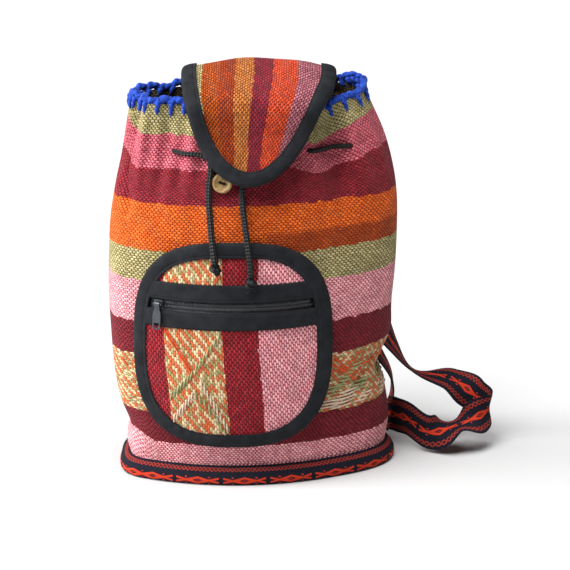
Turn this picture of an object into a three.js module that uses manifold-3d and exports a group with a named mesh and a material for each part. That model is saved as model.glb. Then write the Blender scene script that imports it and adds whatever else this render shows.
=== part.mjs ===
// Woven drawstring backpack: a gathered cloth body on an oval base, with a bound flap, a button,
// a zipped front pocket, a drawstring and two ribbon shoulder straps.
// Millimetres, +Z up, front towards -Y, origin on the floor under the middle of the base.
import * as THREE from "three";
import { mergeVertices } from "three/addons/utils/BufferGeometryUtils.js";
import Module from "manifold-3d";

// Cloth and clearances
const CLOTH = 3.5; // wall of the woven body
const SEAT = 0.3; // gap between pieces that touch
const SLACK = 0.8; // gap between a panel and the binding folded round it

// Body: how far the filled cloth reaches from the middle, at shares of its height
const RIM_HEIGHT = 345;
const BODY_FOOT = 5.1;
const FRONT_X = -18; // where the front stands furthest out
const FRONT_RADIUS = 185;
const FRONT_SHARE = 0.84; // share of the left half that the front arc takes
const SIDE_Y = 5; // where the sides are widest, before the bag's turn
const BACK_FULLNESS = 0.62;
const BODY_LEVELS = [ // turn: how far the right side stands behind that line, and the left in front
  { at: 0, left: 113, right: 120, front: 72, back: 62, turn: 1 },
  { at: 0.1, left: 114, right: 125, front: 80, back: 66, turn: 2 },
  { at: 0.17, left: 121, right: 123, front: 82, back: 68, turn: 4 },
  { at: 0.28, left: 128, right: 117, front: 82, back: 69, turn: 6 },
  { at: 0.43, left: 133, right: 126, front: 80, back: 69, turn: 8 },
  { at: 0.65, left: 131, right: 132, front: 74, back: 66, turn: 9 },
  { at: 0.76, left: 126, right: 130, front: 67, back: 61, turn: 10 },
  { at: 0.88, left: 116, right: 117, front: 55, back: 52, turn: 12 },
  { at: 1, left: 109, right: 98, front: 46, back: 46, turn: 14 },
];
const BODY_RINGS = 11;
const FRONT_STEPS = 16;
const SIDE_STEPS = 5;
const BACK_STEPS = 11;

// Folds that the drawstring gathers into the top of the body
const GATHERS = 7;
const GATHER_DEPTH = 2.6;
const GATHER_LENGTH = 90; // how far below the rim they run out
const PLEAT_AT = 0.957; // share of the way round, at the left front corner
const PLEAT_WIDTH = 0.02;
const PLEAT_DEPTH = 6;
const PLEAT_LENGTH = 130;

// Base and the ribbon folded round its seam
const BASE_INSET = 8; // the floor panel's underside stops this far inside the body
const BASE_FLANGE = 8; // its seam edge stands this far outside the body
const FLANGE_UNDER = 2.5;
const RIBBON = 2.2; // thickness of the ribbon
const TRIM_HEIGHT = 17;
const TRIM_REACH = 10.8;

// Crochet edging on the rim
const STATIONS_PER_SCALLOP = 3;
const SCALLOP_RISE = 8;
const SCALLOP_DIP = 4;
const STITCH_LONG = 11;
const STITCH_SHORT = 3;
const YARN = 1.5;

// Bindings: black cloth folded round the edges of flap and pocket
const PANEL = 3.2; // thickness of flap and pocket panels
const BINDING_WIDTH = 13;
const BINDING_LEG = 1.6;
const BINDING_FOLD = 4; // depth of cloth at the fold
const PANEL_INSET = BINDING_FOLD + SLACK;

// Flap, hinged at the back seam
const FLAP_HALF_WIDTH = 70;
const FLAP_TIP_LENGTH = 140; // length of the rounded end
const FLAP_RISE = 26; // crest above the rim
const FLAP_DROP = 66; // tip below the rim
const FLAP_SEAM_X = 5; // middle of the flap at the seam and at the tip
const FLAP_TIP_X = -3;
const FLAP_CREST_Y = 8;
const FLAP_STANDOFF = 13; // middle of the flap's cloth to the body's front
const SEAM_DROP = 12.5; // hinge line below the rim
const SEAM_TAPE_HEIGHT = 14;
const SEAM_TAPE_DEPTH = 5;
const SEAM_TAPE_HALF = 74;
const LOOP_RADIUS = 1;

// Button
const BUTTON_X = -27;
const BUTTON_DROP = 64; // below the rim
const BUTTON_RADIUS = 9;
const BUTTON_THICKNESS = 4.4;
const BUTTON_SHANK = 1.4;
const BUTTON_HOLE = 1.2;
const BUTTON_HOLE_SPACING = 2.4;
const BUTTON_TURN = -20; // degrees

// Drawstring
const CORD_RADIUS = 2.75;
const CORD_CLEAR = 0.8;
const CORD_HOLE = 0.4; // clearance round the cord where it goes through the cloth
const CORD_DROP = 41; // below the rim
const KNOT_RADIUS = 4.4;
const KNOT_LENGTH = 13;

// Pocket
const POCKET_HALF_WIDTH = 94; // along the curve of the front
const POCKET_HALF_HEIGHT = 95.5;
const POCKET_MIDDLE = 134;
const POCKET_ROUNDNESS = 2.75;
const POCKET_BULGE = 7;
const POCKET_STATIONS = 44;

// Zip
const ZIP_HEIGHT = 172;
const ZIP_COLUMNS = 12;
const ZIP_SLOT = 9;
const FACING_HEIGHT = 16;
const FACING = 1.2;
const PANEL_TO_ZIP = 10;
const TAPE = 0.8;
const TAPE_EDGE = 14;
const CHAIN_SLIT = 0.7;
const COIL_EDGE = 2.9;
const COIL_DEPTH = 2.1;
const CHAIN_GAP = 5.4; // end of the chain to the pocket's binding
const STOP_LENGTH = 2.4;
const SLIDER_GAP = 11.4; // middle of the closed slider to the pocket's binding
const SLIDER_HALF_LENGTH = 5;
const SLIDER_PLATE = 1.4;
const PULL_BAR_OUT = 2.6; // middle of the pull's bar in front of the slider's plate
const PULL_BAR_RADIUS = 0.8;
const PULL_LENGTH = 23;
const PULL_WIDTH = 8;
const PULL_PLATE = 1.4;

// Shoulder straps
const STRAP_WIDTH = 33;
const STRAP_STEPS = 46;
const STRAP_TOP_X = 17;

const wasm = await Module();
wasm.setup();
const { lerp, smoothstep, degToRad } = THREE.MathUtils;
const vec = (x, y, z) => new THREE.Vector3(x, y, z);
const range = (count, make) => Array.from({ length: count }, (_, i) => make(i));

// Closed meshes

function closedGeometry(points, triangles) {
  const volume = triangles.reduce(
    (sum, [a, b, c]) => sum + points[a].dot(points[b].clone().cross(points[c])), 0);
  const outward = volume > 0 ? triangles : triangles.map(([a, b, c]) => [a, c, b]);
  const geometry = new THREE.BufferGeometry().setFromPoints(points);
  geometry.setIndex(outward.flat());
  geometry.computeVertexNormals();
  return geometry;
}

// Two faces, each a grid of points [row][column], joined along their edges.
// A wrapped sheet goes all the way round, so its last column meets its first.
function thickSheet(front, back, wrap = false) {
  const rows = front.length;
  const columns = front[0].length;
  const id = (face, r, c) => (face * rows + r) * columns + (c % columns);
  const triangles = [];
  const quad = (a, b, c, d) => triangles.push([a, b, c], [a, c, d]);
  const across = wrap ? columns : columns - 1;
  const last = rows - 1;
  for (let c = 0; c < across; c++) {
    for (let r = 0; r < last; r++) {
      quad(id(0, r, c), id(0, r, c + 1), id(0, r + 1, c + 1), id(0, r + 1, c));
      quad(id(1, r, c), id(1, r + 1, c), id(1, r + 1, c + 1), id(1, r, c + 1));
    }
    quad(id(0, 0, c + 1), id(0, 0, c), id(1, 0, c), id(1, 0, c + 1));
    quad(id(0, last, c), id(0, last, c + 1), id(1, last, c + 1), id(1, last, c));
  }
  for (let r = 0; r < last && !wrap; r++) {
    const end = columns - 1;
    quad(id(0, r, 0), id(0, r + 1, 0), id(1, r + 1, 0), id(1, r, 0));
    quad(id(0, r + 1, end), id(0, r, end), id(1, r, end), id(1, r + 1, end));
  }
  return closedGeometry([...front.flat(), ...back.flat()], triangles);
}

// A row of like rings joined side to side. With end sections it is capped there; without, it is a loop.
function sweep(rings, firstSection = null, lastSection = firstSection) {
  const count = rings[0].length;
  const spans = firstSection ? rings.length - 1 : rings.length;
  const id = (k, i) => (k % rings.length) * count + (i % count);
  const triangles = [];
  for (let k = 0; k < spans; k++) {
    for (let i = 0; i < count; i++) {
      triangles.push([id(k, i), id(k, i + 1), id(k + 1, i + 1)], [id(k, i), id(k + 1, i + 1), id(k + 1, i)]);
    }
  }
  const cap = (section, k, reversed) => {
    const turn = THREE.ShapeUtils.isClockWise(section);
    for (const [a, b, c] of THREE.ShapeUtils.triangulateShape(section, [])) {
      const flipped = THREE.ShapeUtils.isClockWise([section[a], section[b], section[c]]) !== turn;
      triangles.push(flipped === reversed ? [id(k, a), id(k, b), id(k, c)] : [id(k, a), id(k, c), id(k, b)]);
    }
  };
  if (firstSection) {
    cap(firstSection, 0, true);
    cap(lastSection, rings.length - 1, false);
  }
  return closedGeometry(rings.flat(), triangles);
}

// Booleans

function toSolid(geometry) {
  const bare = new THREE.BufferGeometry();
  bare.setAttribute("position", geometry.getAttribute("position").clone());
  if (geometry.index) bare.setIndex(geometry.index.clone());
  const merged = mergeVertices(bare, 1e-4);
  return new wasm.Manifold(new wasm.Mesh({
    numProp: 3,
    vertProperties: new Float32Array(merged.getAttribute("position").array),
    triVerts: new Uint32Array(merged.index.array),
  }));
}

function fromSolid(solid) {
  const mesh = solid.getMesh();
  const geometry = new THREE.BufferGeometry();
  geometry.setAttribute("position", new THREE.BufferAttribute(mesh.vertProperties, 3));
  geometry.setIndex(new THREE.BufferAttribute(mesh.triVerts, 1));
  geometry.computeVertexNormals();
  return geometry;
}

const join = (...geometries) => fromSolid(geometries.map(toSolid).reduce((a, b) => a.add(b)));
const cut = (geometry, ...tools) =>
  fromSolid(tools.map(toSolid).reduce((solid, tool) => solid.subtract(tool), toSolid(geometry)));

// A round cord along a curve
function cordAlong(curve, radius, sides, steps) {
  const section = new THREE.Shape(range(sides, (i) => {
    const a = (2 * Math.PI * i) / sides;
    return new THREE.Vector2(radius * Math.cos(a), radius * Math.sin(a));
  }));
  return new THREE.ExtrudeGeometry(section, { extrudePath: curve, steps });
}

// The body's surface

function smoothThrough(rows, key, at) {
  const x = Math.min(Math.max(at, rows[0].at), rows.at(-1).at);
  const i = Math.min(rows.findLastIndex((row) => row.at <= x), rows.length - 2);
  const slope = (k) => {
    const a = rows[Math.max(k - 1, 0)];
    const b = rows[Math.min(k + 1, rows.length - 1)];
    return (b[key] - a[key]) / (b.at - a.at);
  };
  const [a, b] = [rows[i], rows[i + 1]];
  const span = b.at - a.at;
  const t = (x - a.at) / span;
  return a[key] * (1 + 2 * t) * (1 - t) ** 2 + b[key] * t * t * (3 - 2 * t)
    + span * (slope(i) * t * (1 - t) ** 2 - slope(i + 1) * t * t * (1 - t));
}

const reach = (side, z) => smoothThrough(BODY_LEVELS, side, (z - BODY_FOOT) / (RIM_HEIGHT - BODY_FOOT));

// How far a fold moves the cloth outwards, at a share u of the way round
function fold(u, z) {
  const gather = GATHER_DEPTH * smoothstep(z, RIM_HEIGHT - GATHER_LENGTH, RIM_HEIGHT);
  const pleat = PLEAT_DEPTH * smoothstep(z, RIM_HEIGHT - PLEAT_LENGTH, RIM_HEIGHT);
  const away = (u - PLEAT_AT - Math.round(u - PLEAT_AT)) / PLEAT_WIDTH;
  return gather * Math.cos(2 * Math.PI * GATHERS * u) - pleat * Math.exp(-away * away);
}

// One level ring of the body, moved outwards by out: a front arc, then two curves round each side
function outline(z, out = 0) {
  const left = -reach("left", z);
  const right = reach("right", z);
  const back = reach("back", z);
  const angle = Math.asin((FRONT_SHARE * (FRONT_X - left)) / FRONT_RADIUS);
  const arc = range(FRONT_STEPS + 1, (i) => {
    const a = lerp(-angle, angle, i / FRONT_STEPS);
    return new THREE.Vector2(FRONT_X + FRONT_RADIUS * Math.sin(a), frontY(FRONT_X + FRONT_RADIUS * Math.sin(a), z));
  });
  const [first, last] = [arc[0], arc.at(-1)];
  const at = (x, y) => new THREE.Vector2(x, y);
  const leftSide = at(left, SIDE_Y - reach("turn", z));
  const rightSide = at(right, SIDE_Y + reach("turn", z));
  const [leftHandle, rightHandle] = [0.38 * leftSide.distanceTo(first), 0.38 * rightSide.distanceTo(last)];
  const behind = (side) => at(side.x, lerp(side.y, back, BACK_FULLNESS));
  const curves = [
    [new THREE.CubicBezierCurve(last,
      at(last.x + rightHandle * Math.cos(angle), last.y + rightHandle * Math.sin(angle)),
      at(right, rightSide.y - rightHandle), rightSide), SIDE_STEPS],
    [new THREE.CubicBezierCurve(rightSide, behind(rightSide),
      at(BACK_FULLNESS * right, back), at(0, back)), BACK_STEPS],
    [new THREE.CubicBezierCurve(at(0, back), at(BACK_FULLNESS * left, back),
      behind(leftSide), leftSide), BACK_STEPS],
    [new THREE.CubicBezierCurve(leftSide, at(left, leftSide.y - leftHandle),
      at(first.x - leftHandle * Math.cos(angle), first.y + leftHandle * Math.sin(angle)), first), SIDE_STEPS],
  ];
  const ring = [...arc, ...curves.flatMap(([curve, steps]) => curve.getPoints(steps).slice(1))].slice(0, -1);
  return ring.map((p, i) => {
    const along = ring[(i + 1) % ring.length].clone().sub(ring.at(i - 1)).normalize();
    const move = out + fold(i / ring.length, z);
    return at(p.x + along.y * move, p.y - along.x * move);
  });
}

function frontY(x, z) {
  return FRONT_RADIUS - reach("front", z) - Math.sqrt(FRONT_RADIUS ** 2 - (x - FRONT_X) ** 2);
}

// A point on the body at a share u of the way round, moved outwards by out
function bodyPoint(u, z, out = 0) {
  const ring = outline(z, out);
  const place = (u - Math.floor(u)) * ring.length;
  const i = Math.floor(place);
  const p = ring[i].clone().lerp(ring[(i + 1) % ring.length], place - i);
  return vec(p.x, p.y, z);
}

// The share of the way round at which the front, or the back, has a given x
function shareAt(x, z, onBack = false) {
  const ring = outline(z);
  const i = ring.findIndex((p, k) => {
    const q = ring[(k + 1) % ring.length];
    return (p.x - x) * (q.x - x) <= 0 && p.x !== q.x && (q.x < p.x) === onBack;
  });
  const q = ring[(i + 1) % ring.length];
  return (i + (x - ring[i].x) / (q.x - ring[i].x)) / ring.length;
}

const bodyFront = (x, z, out = 0) => bodyPoint(shareAt(x, z), z, out);
const bodyBack = (x, z, out = 0) => bodyPoint(shareAt(x, z, true), z, out);

// Body, base and trim

const RING_COUNT = FRONT_STEPS + 2 * SIDE_STEPS + 2 * BACK_STEPS;

function bodyShell() {
  const heights = range(BODY_RINGS + 1, (i) => lerp(BODY_FOOT, RIM_HEIGHT, i / BODY_RINGS));
  const wall = (out) => heights.map((z) => outline(z, out).map((p) => vec(p.x, p.y, z)));
  return thickSheet(wall(0), wall(-CLOTH), true);
}

function basePanel() {
  const ring = (out, z) => outline(BODY_FOOT, out).map((p) => vec(p.x, p.y, z));
  const rings = [
    ring(-BASE_INSET, 0),
    ring(-BASE_INSET, FLANGE_UNDER),
    ring(BASE_FLANGE, FLANGE_UNDER),
    ring(BASE_FLANGE, BODY_FOOT - SEAT),
  ];
  const flat = (points) => points.map((p) => new THREE.Vector2(p.x, p.y));
  return sweep(rings, flat(rings[0]), flat(rings.at(-1)));
}

// The ribbon's section is given as [distance out from the body, height]
function baseTrim() {
  const slot = BASE_FLANGE + SEAT;
  const section = [
    [2 * SEAT, TRIM_HEIGHT],
    [5.5, TRIM_HEIGHT - 3.5],
    [TRIM_REACH, 6],
    [TRIM_REACH - 1.3, 0],
    [SEAT - BASE_INSET, 0],
    [SEAT - BASE_INSET, RIBBON],
    [slot, RIBBON],
    [slot, BODY_FOOT + SEAT],
    [2 * SEAT, TRIM_HEIGHT - RIBBON],
  ];
  return sweep(range(RING_COUNT, (i) => section.map(([out, z]) => {
    const p = outline(Math.max(z, BODY_FOOT), out)[i];
    return vec(p.x, p.y, z);
  })));
}

// Stitches reach down the outside of the rim, and scallops stand above it
function rimCrochet() {
  const stations = 2 * RING_COUNT;
  return sweep(range(stations, (k) => {
    const step = k % STATIONS_PER_SCALLOP;
    const stitch = step === 1 ? STITCH_LONG : STITCH_SHORT;
    const top = step === 0 ? SCALLOP_DIP : SCALLOP_RISE;
    const section = [
      [2 * SEAT, -stitch],
      [2 * SEAT + YARN, -stitch],
      [-CLOTH / 2, top],
      [-CLOTH, SEAT],
      [2 * SEAT, SEAT],
    ];
    return section.map(([out, rise]) =>
      bodyPoint(k / stations, RIM_HEIGHT + Math.min(rise, 0), out).setZ(RIM_HEIGHT + rise));
  }));
}

// Flap

const SEAM_HEIGHT = RIM_HEIGHT - SEAM_DROP;
const SEAM_OUT = SEAM_TAPE_DEPTH + SEAT - 0.5 * PANEL + 2;

const flapProfile = new THREE.CatmullRomCurve3([
  vec(0, reach("back", SEAM_HEIGHT) + SEAM_OUT, SEAM_HEIGHT + 1.6 * SLACK),
  vec(0, reach("back", RIM_HEIGHT) + SEAM_OUT, RIM_HEIGHT + 7),
  vec(0, FLAP_CREST_Y + 32, RIM_HEIGHT + FLAP_RISE - 10),
  vec(0, FLAP_CREST_Y, RIM_HEIGHT + FLAP_RISE),
  vec(0, FLAP_CREST_Y - 34, RIM_HEIGHT + FLAP_RISE - 7),
  vec(0, -reach("front", RIM_HEIGHT) - 13, RIM_HEIGHT + 6),
  ...[0.4, 0.75, 1].map((share) => {
    const z = RIM_HEIGHT - share * FLAP_DROP;
    return vec(0, -reach("front", z) - FLAP_STANDOFF, z);
  }),
]);
const FLAP_LENGTH = flapProfile.getLength();

// A point of the flap: x across, l along the cloth from the seam, h above the middle of the cloth
function flapPoint(x, l, h) {
  const t = Math.min(l / FLAP_LENGTH, 1);
  const p = flapProfile.getPointAt(t);
  const along = flapProfile.getTangentAt(t);
  const bend = lerp(1 / 700, 1 / 230, smoothstep(t, 0.5, 0.85));
  const lift = h - 0.5 * bend * x * x;
  const beyond = Math.max(l - FLAP_LENGTH, 0);
  const middle = lerp(FLAP_SEAM_X, FLAP_TIP_X, smoothstep(t, 0.4, 1));
  return vec(middle + x, p.y + along.y * beyond + along.z * lift, p.z + along.z * beyond - along.y * lift);
}

const ROUND_FROM = FLAP_LENGTH - FLAP_TIP_LENGTH;
const STRAIGHT_ROWS = range(6, (i) => (ROUND_FROM * i) / 6);

function flapPanel() {
  const round = range(11, (i) => (Math.PI * i) / 22);
  const half = FLAP_HALF_WIDTH - PANEL_INSET;
  const rows = [
    ...STRAIGHT_ROWS.map((l) => [l, half]),
    ...round.map((a) => [ROUND_FROM + (FLAP_TIP_LENGTH - PANEL_INSET) * Math.sin(a), half * Math.cos(a)]),
  ];
  const face = (h) => rows.map(([l, w]) => range(9, (c) => flapPoint(lerp(-w, w, c / 8), l, h)));
  return thickSheet(face(PANEL / 2), face(-PANEL / 2));
}

// Section of a binding as [distance in from the edge, height above the middle of the cloth]
function bindingSection(width) {
  const inside = PANEL / 2 + SLACK;
  const outside = inside + BINDING_LEG;
  return [
    [1.2, outside], [width, outside - 0.4], [width, inside], [BINDING_FOLD, inside],
    [BINDING_FOLD, -inside], [width, -inside], [width, 0.4 - outside], [1.2, -outside], [0, 0],
  ];
}

const flatSection = (section) => section.map(([a, b]) => new THREE.Vector2(a, b));

function flapBinding() {
  const section = bindingSection(BINDING_WIDTH);
  const straight = (side) => STRAIGHT_ROWS.map((l) => ({ x: side * FLAP_HALF_WIDTH, l, inX: -side, inL: 0 }));
  const round = range(23, (i) => {
    const a = (Math.PI * i) / 22;
    const across = Math.cos(a) / FLAP_HALF_WIDTH;
    const down = Math.sin(a) / FLAP_TIP_LENGTH;
    const size = Math.hypot(across, down);
    return {
      x: -FLAP_HALF_WIDTH * Math.cos(a),
      l: ROUND_FROM + FLAP_TIP_LENGTH * Math.sin(a),
      inX: across / size,
      inL: -down / size,
    };
  });
  const stations = [...straight(-1), ...round, ...straight(1).reverse()];
  const rings = stations.map(({ x, l, inX, inL }) =>
    section.map(([d, h]) => flapPoint(x + d * inX, l + d * inL, h)));
  return sweep(rings, flatSection(section));
}

// A small loop sewn under the flap's tip, for the button
function flapLoop() {
  const under = -(PANEL / 2 + SLACK + BINDING_LEG + SEAT + LOOP_RADIUS);
  const route = [[8, 15], [0, 15], [-8, 14.5], [-13, 11.5], [-8, 8.5], [0, 8], [8, 8]];
  const points = route.map(([x, back]) => flapPoint(x, FLAP_LENGTH - back, under));
  return cordAlong(new THREE.CatmullRomCurve3(points), LOOP_RADIUS, 6, 12);
}

function seamTape() {
  const [from, to] = [SEAM_TAPE_HALF, -SEAM_TAPE_HALF].map((x) =>
    Math.round(shareAt(x, SEAM_HEIGHT, true) * RING_COUNT));
  const face = (out) => [SEAM_HEIGHT - SEAM_TAPE_HEIGHT, SEAM_HEIGHT].map((z) =>
    range(to - from + 1, (c) => bodyPoint((from + c) / RING_COUNT, z, out)));
  return thickSheet(face(SEAM_TAPE_DEPTH), face(2 * SEAT));
}

// Button and its thread, in a frame whose Y points out of the body

function buttonShape() {
  const t = BUTTON_THICKNESS;
  const r = BUTTON_RADIUS;
  const profile = [
    [0, 0], [r - 1.6, 0], [r, 1.3], [r, t - 1.2], [r - 0.8, t], [r - 2.4, t], [r - 3.4, t - 1], [0, t - 1.3],
  ];
  const disc = new THREE.LatheGeometry(profile.map(([x, y]) => new THREE.Vector2(x, y)), 20);
  const hole = (side) => new THREE.CylinderGeometry(BUTTON_HOLE, BUTTON_HOLE, 4 * t, 12)
    .translate(side * BUTTON_HOLE_SPACING, 0, 0);
  return cut(disc, hole(-1), hole(1));
}

function buttonThread() {
  const strand = BUTTON_HOLE - SEAT;
  const top = BUTTON_THICKNESS + 0.3;
  const bottom = SEAT - BUTTON_SHANK;
  const post = (side) => new THREE.CylinderGeometry(strand, strand, top - bottom, 8)
    .translate(side * BUTTON_HOLE_SPACING, (top + bottom) / 2, 0);
  const bar = new THREE.BoxGeometry(2 * BUTTON_HOLE_SPACING, 1.1, 1.7).translate(0, top - 0.55, 0);
  return join(post(-1), post(1), bar);
}

// Drawstring: threaded round the top, then down to a knot at each end

const CORD_HEIGHT = RIM_HEIGHT - CORD_DROP;
const CORD_OUTSIDE = CORD_RADIUS + CORD_CLEAR;
const CORD_INSIDE = -(CLOTH + CORD_RADIUS + CORD_CLEAR);

// The holes in order from the left front, round the back, to the right front; the cord starts outside
const CORD_HOLES = [
  shareAt(-72, CORD_HEIGHT),
  shareAt(-82, CORD_HEIGHT, true) - 1,
  shareAt(-50, CORD_HEIGHT, true) - 1,
  shareAt(50, CORD_HEIGHT, true) - 1,
  shareAt(82, CORD_HEIGHT, true) - 1,
  shareAt(88, CORD_HEIGHT) - 1,
  shareAt(52, CORD_HEIGHT) - 1,
  shareAt(24, CORD_HEIGHT) - 1,
];

// Free ends, from the threaded part down: [x, depth below the holes, distance out from the body]
const LEFT_END = [
  [-50, 1.5, 3.6], [-43.5, 9, 3.6], [-40, 21, 3.8], [-38.5, 36, 4.6], [-37, 49, 7], [-35.8, 60, 10.2],
  [-34.8, 70, 13.4], [-34, 79, 16.4], [-33.4, 87, 18.2],
];
const RIGHT_END = [
  [9, 2, 3.6], [-1, 8.5, 3.4], [-7, 19, 3.2], [-9.8, 33, 4], [-9, 46, 6.4], [-7.6, 58, 9.6],
  [-6.2, 69, 13], [-4.8, 80, 16], [-3.6, 90, 17.8], [-3, 97, 18.4],
];

const freeEnd = (route) => route.map(([x, down, out]) => bodyFront(x, CORD_HEIGHT - down, out));

function drawstringCurve() {
  const crossing = 0.0125;
  const start = shareAt(-60, CORD_HEIGHT);
  const end = shareAt(17, CORD_HEIGHT) - 1;
  const threaded = range(47, (i) => {
    const u = lerp(start, end, i / 46);
    const inside = CORD_HOLES.reduce((sum, hole, k) =>
      sum + (k % 2 === 0 ? 1 : -1) * smoothstep(hole - u, -crossing, crossing), 0);
    return bodyPoint(u, CORD_HEIGHT, lerp(CORD_OUTSIDE, CORD_INSIDE, inside));
  });
  return new THREE.CatmullRomCurve3([...freeEnd(LEFT_END).reverse(), ...threaded, ...freeEnd(RIGHT_END)]);
}

const drawstringPath = drawstringCurve();
const CORD_STEPS = 74;
const CORD_SIDES = 6;

// A knot hangs under its cord end: a bulb with the cut tail below it
function knot(top) {
  const r = KNOT_RADIUS;
  const l = KNOT_LENGTH;
  const profile = [[0, -l], [r - 1.9, -l], [r - 1.8, -9], [r, -6.5], [r, -3.5], [r - 1.6, -0.8], [0, 0]];
  return new THREE.LatheGeometry(profile.map(([x, y]) => new THREE.Vector2(x, y)), 12)
    .rotateX(Math.PI / 2)
    .translate(top.x, top.y, top.z - SEAT);
}

// Pocket: each level of its face is one arc between the sewn edges

const EDGE_LIFT = PANEL + 2 * SLACK + BINDING_LEG; // the panel's face in front of the body

function pocketHalf(z, inset = 0) {
  const share = Math.min(Math.abs(z - POCKET_MIDDLE) / (POCKET_HALF_HEIGHT - inset), 0.998);
  return (POCKET_HALF_WIDTH - inset) * (1 - share ** POCKET_ROUNDNESS) ** (1 / POCKET_ROUNDNESS);
}

function pocketArc(z) {
  const share = Math.min(Math.abs(z - POCKET_MIDDLE) / POCKET_HALF_HEIGHT, 0.998);
  const bulge = POCKET_BULGE * (1 - share ** 2.5);
  const half = FRONT_RADIUS * Math.sin(pocketHalf(z) / FRONT_RADIUS);
  const sagitta = bulge + FRONT_RADIUS - Math.sqrt(FRONT_RADIUS ** 2 - half ** 2);
  const radius = (half ** 2 + sagitta ** 2) / (2 * sagitta);
  return { radius, centreY: radius - reach("front", z) - EDGE_LIFT - bulge };
}

// A point of the pocket: s along the curve of the front, h in front of the panel's face
function pocketPoint(s, z, h) {
  const surface = (a, b) => {
    const { radius, centreY } = pocketArc(b);
    const x = FRONT_RADIUS * Math.sin(a / FRONT_RADIUS);
    return vec(FRONT_X + x, centreY - Math.sqrt(radius ** 2 - x ** 2), b);
  };
  const step = 0.5;
  const across = surface(s + step, z).sub(surface(s - step, z));
  const up = surface(s, z + step).sub(surface(s, z - step));
  return surface(s, z).addScaledVector(across.cross(up).normalize(), h);
}

function pocketBinding() {
  const middle = PANEL / 2;
  const section = bindingSection(BINDING_WIDTH);
  const power = (v, p) => Math.sign(v) * Math.abs(v) ** p;
  return sweep(range(POCKET_STATIONS, (i) => {
    const t = (2 * Math.PI * (i + 0.5)) / POCKET_STATIONS;
    const s = POCKET_HALF_WIDTH * power(Math.cos(t), 2 / POCKET_ROUNDNESS);
    const z = POCKET_HALF_HEIGHT * power(Math.sin(t), 2 / POCKET_ROUNDNESS);
    const inward = new THREE.Vector2(
      -power(s / POCKET_HALF_WIDTH, POCKET_ROUNDNESS - 1) / POCKET_HALF_WIDTH,
      -power(z / POCKET_HALF_HEIGHT, POCKET_ROUNDNESS - 1) / POCKET_HALF_HEIGHT).normalize();
    return section.map(([d, h]) =>
      pocketPoint(s + d * inward.x, POCKET_MIDDLE + z + d * inward.y, h - middle));
  }));
}

// A strip of the pocket between two heights, as wide as its edge allows
function pocketStrip(heights, halfAt, frontH, backH, columns) {
  const face = (h) => heights.map((z) => {
    const half = halfAt(z);
    return range(columns + 1, (c) => pocketPoint(lerp(-half, half, c / columns), z, h));
  });
  return thickSheet(face(frontH), face(backH));
}

function pocketPanel(from, to, rows) {
  const height = POCKET_HALF_HEIGHT - PANEL_INSET;
  const angle = (z) => {
    const share = (z - POCKET_MIDDLE) / height;
    return Math.sign(share) * Math.asin(Math.min(Math.abs(share), 0.985) ** (POCKET_ROUNDNESS / 2));
  };
  const heights = range(rows + 1, (i) => {
    const sine = Math.sin(lerp(angle(from), angle(to), i / rows));
    return POCKET_MIDDLE + height * Math.sign(sine) * Math.abs(sine) ** (2 / POCKET_ROUNDNESS);
  });
  return pocketStrip(heights, (z) => pocketHalf(z, PANEL_INSET), 0, -PANEL, 12);
}

// Zip: side is 1 above the chain and -1 below it

const ZIP_ROOM = pocketHalf(ZIP_HEIGHT, BINDING_WIDTH); // from the pocket's middle to its binding
const CHAIN_HALF_LENGTH = ZIP_ROOM - CHAIN_GAP;
const SLIDER_AT = ZIP_ROOM - SLIDER_GAP; // closed position, left of the pocket's middle

const zipSpan =(side, from, to) => [ZIP_HEIGHT + side * from, ZIP_HEIGHT + side * to];
const TAPE_BACK = -(PANEL + SEAT + TAPE);
const TAPE_FRONT = -(PANEL + SEAT);
const COIL_BACK = TAPE_FRONT + SEAT;
const COIL_FRONT = COIL_BACK + COIL_DEPTH;

const zipFacing = (side) => pocketStrip(
  zipSpan(side, ZIP_SLOT / 2, ZIP_SLOT / 2 + FACING_HEIGHT),
  (z) => pocketHalf(z, BINDING_WIDTH) - SLACK, 2 * SEAT + FACING, 2 * SEAT, ZIP_COLUMNS);

const zipTape = (side) => pocketStrip(
  zipSpan(side, CHAIN_SLIT, TAPE_EDGE),
  (z) => Math.min(CHAIN_HALF_LENGTH + STOP_LENGTH + 1, pocketHalf(z, BINDING_WIDTH) - SLACK),
  TAPE_FRONT, TAPE_BACK, ZIP_COLUMNS);

const zipCoil = (side) => pocketStrip(
  zipSpan(side, CHAIN_SLIT, COIL_EDGE), () => CHAIN_HALF_LENGTH, COIL_FRONT, COIL_BACK, ZIP_COLUMNS);

// An end stop is a clip across both tapes, just past the coils
function zipStop(side) {
  const inner = side * (CHAIN_HALF_LENGTH + SEAT);
  const outer = inner + side * STOP_LENGTH;
  const face = (h) => zipSpan(1, -COIL_EDGE, COIL_EDGE).map((z) => [inner, outer].map((s) => pocketPoint(s, z, h)));
  return thickSheet(face(COIL_FRONT + 0.2), face(COIL_BACK));
}

// The slider runs on the arc of the chain: its frame has X along the chain and -Y out of the pocket

const zipArc = pocketArc(ZIP_HEIGHT);
const ZIP_ANGLE = -Math.asin(SLIDER_AT / zipArc.radius);
const zipUp = pocketPoint(0, ZIP_HEIGHT + 1, 0).sub(pocketPoint(0, ZIP_HEIGHT - 1, 0));
const ZIP_TILT = Math.atan2(zipUp.y, zipUp.z); // how far the pocket's face leans back at the zip
const SLIDER_BACK = COIL_FRONT + 0.4;
const SLIDER_FRONT = SLIDER_BACK + SLIDER_PLATE;
const PULL_BAR = SLIDER_FRONT + PULL_BAR_OUT;

// A plate in the plane of the zip, between two distances out from the pocket's face
function plate(shape, from, to) {
  return new THREE.ExtrudeGeometry(shape, { depth: to - from, bevelEnabled: false })
    .rotateX(Math.PI / 2)
    .translate(0, -from, 0);
}

const rectangle = (x0, z0, x1, z1) => new THREE.Shape([[x0, z0], [x1, z0], [x1, z1], [x0, z1]]
  .map(([x, z]) => new THREE.Vector2(x, z)));

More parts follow.
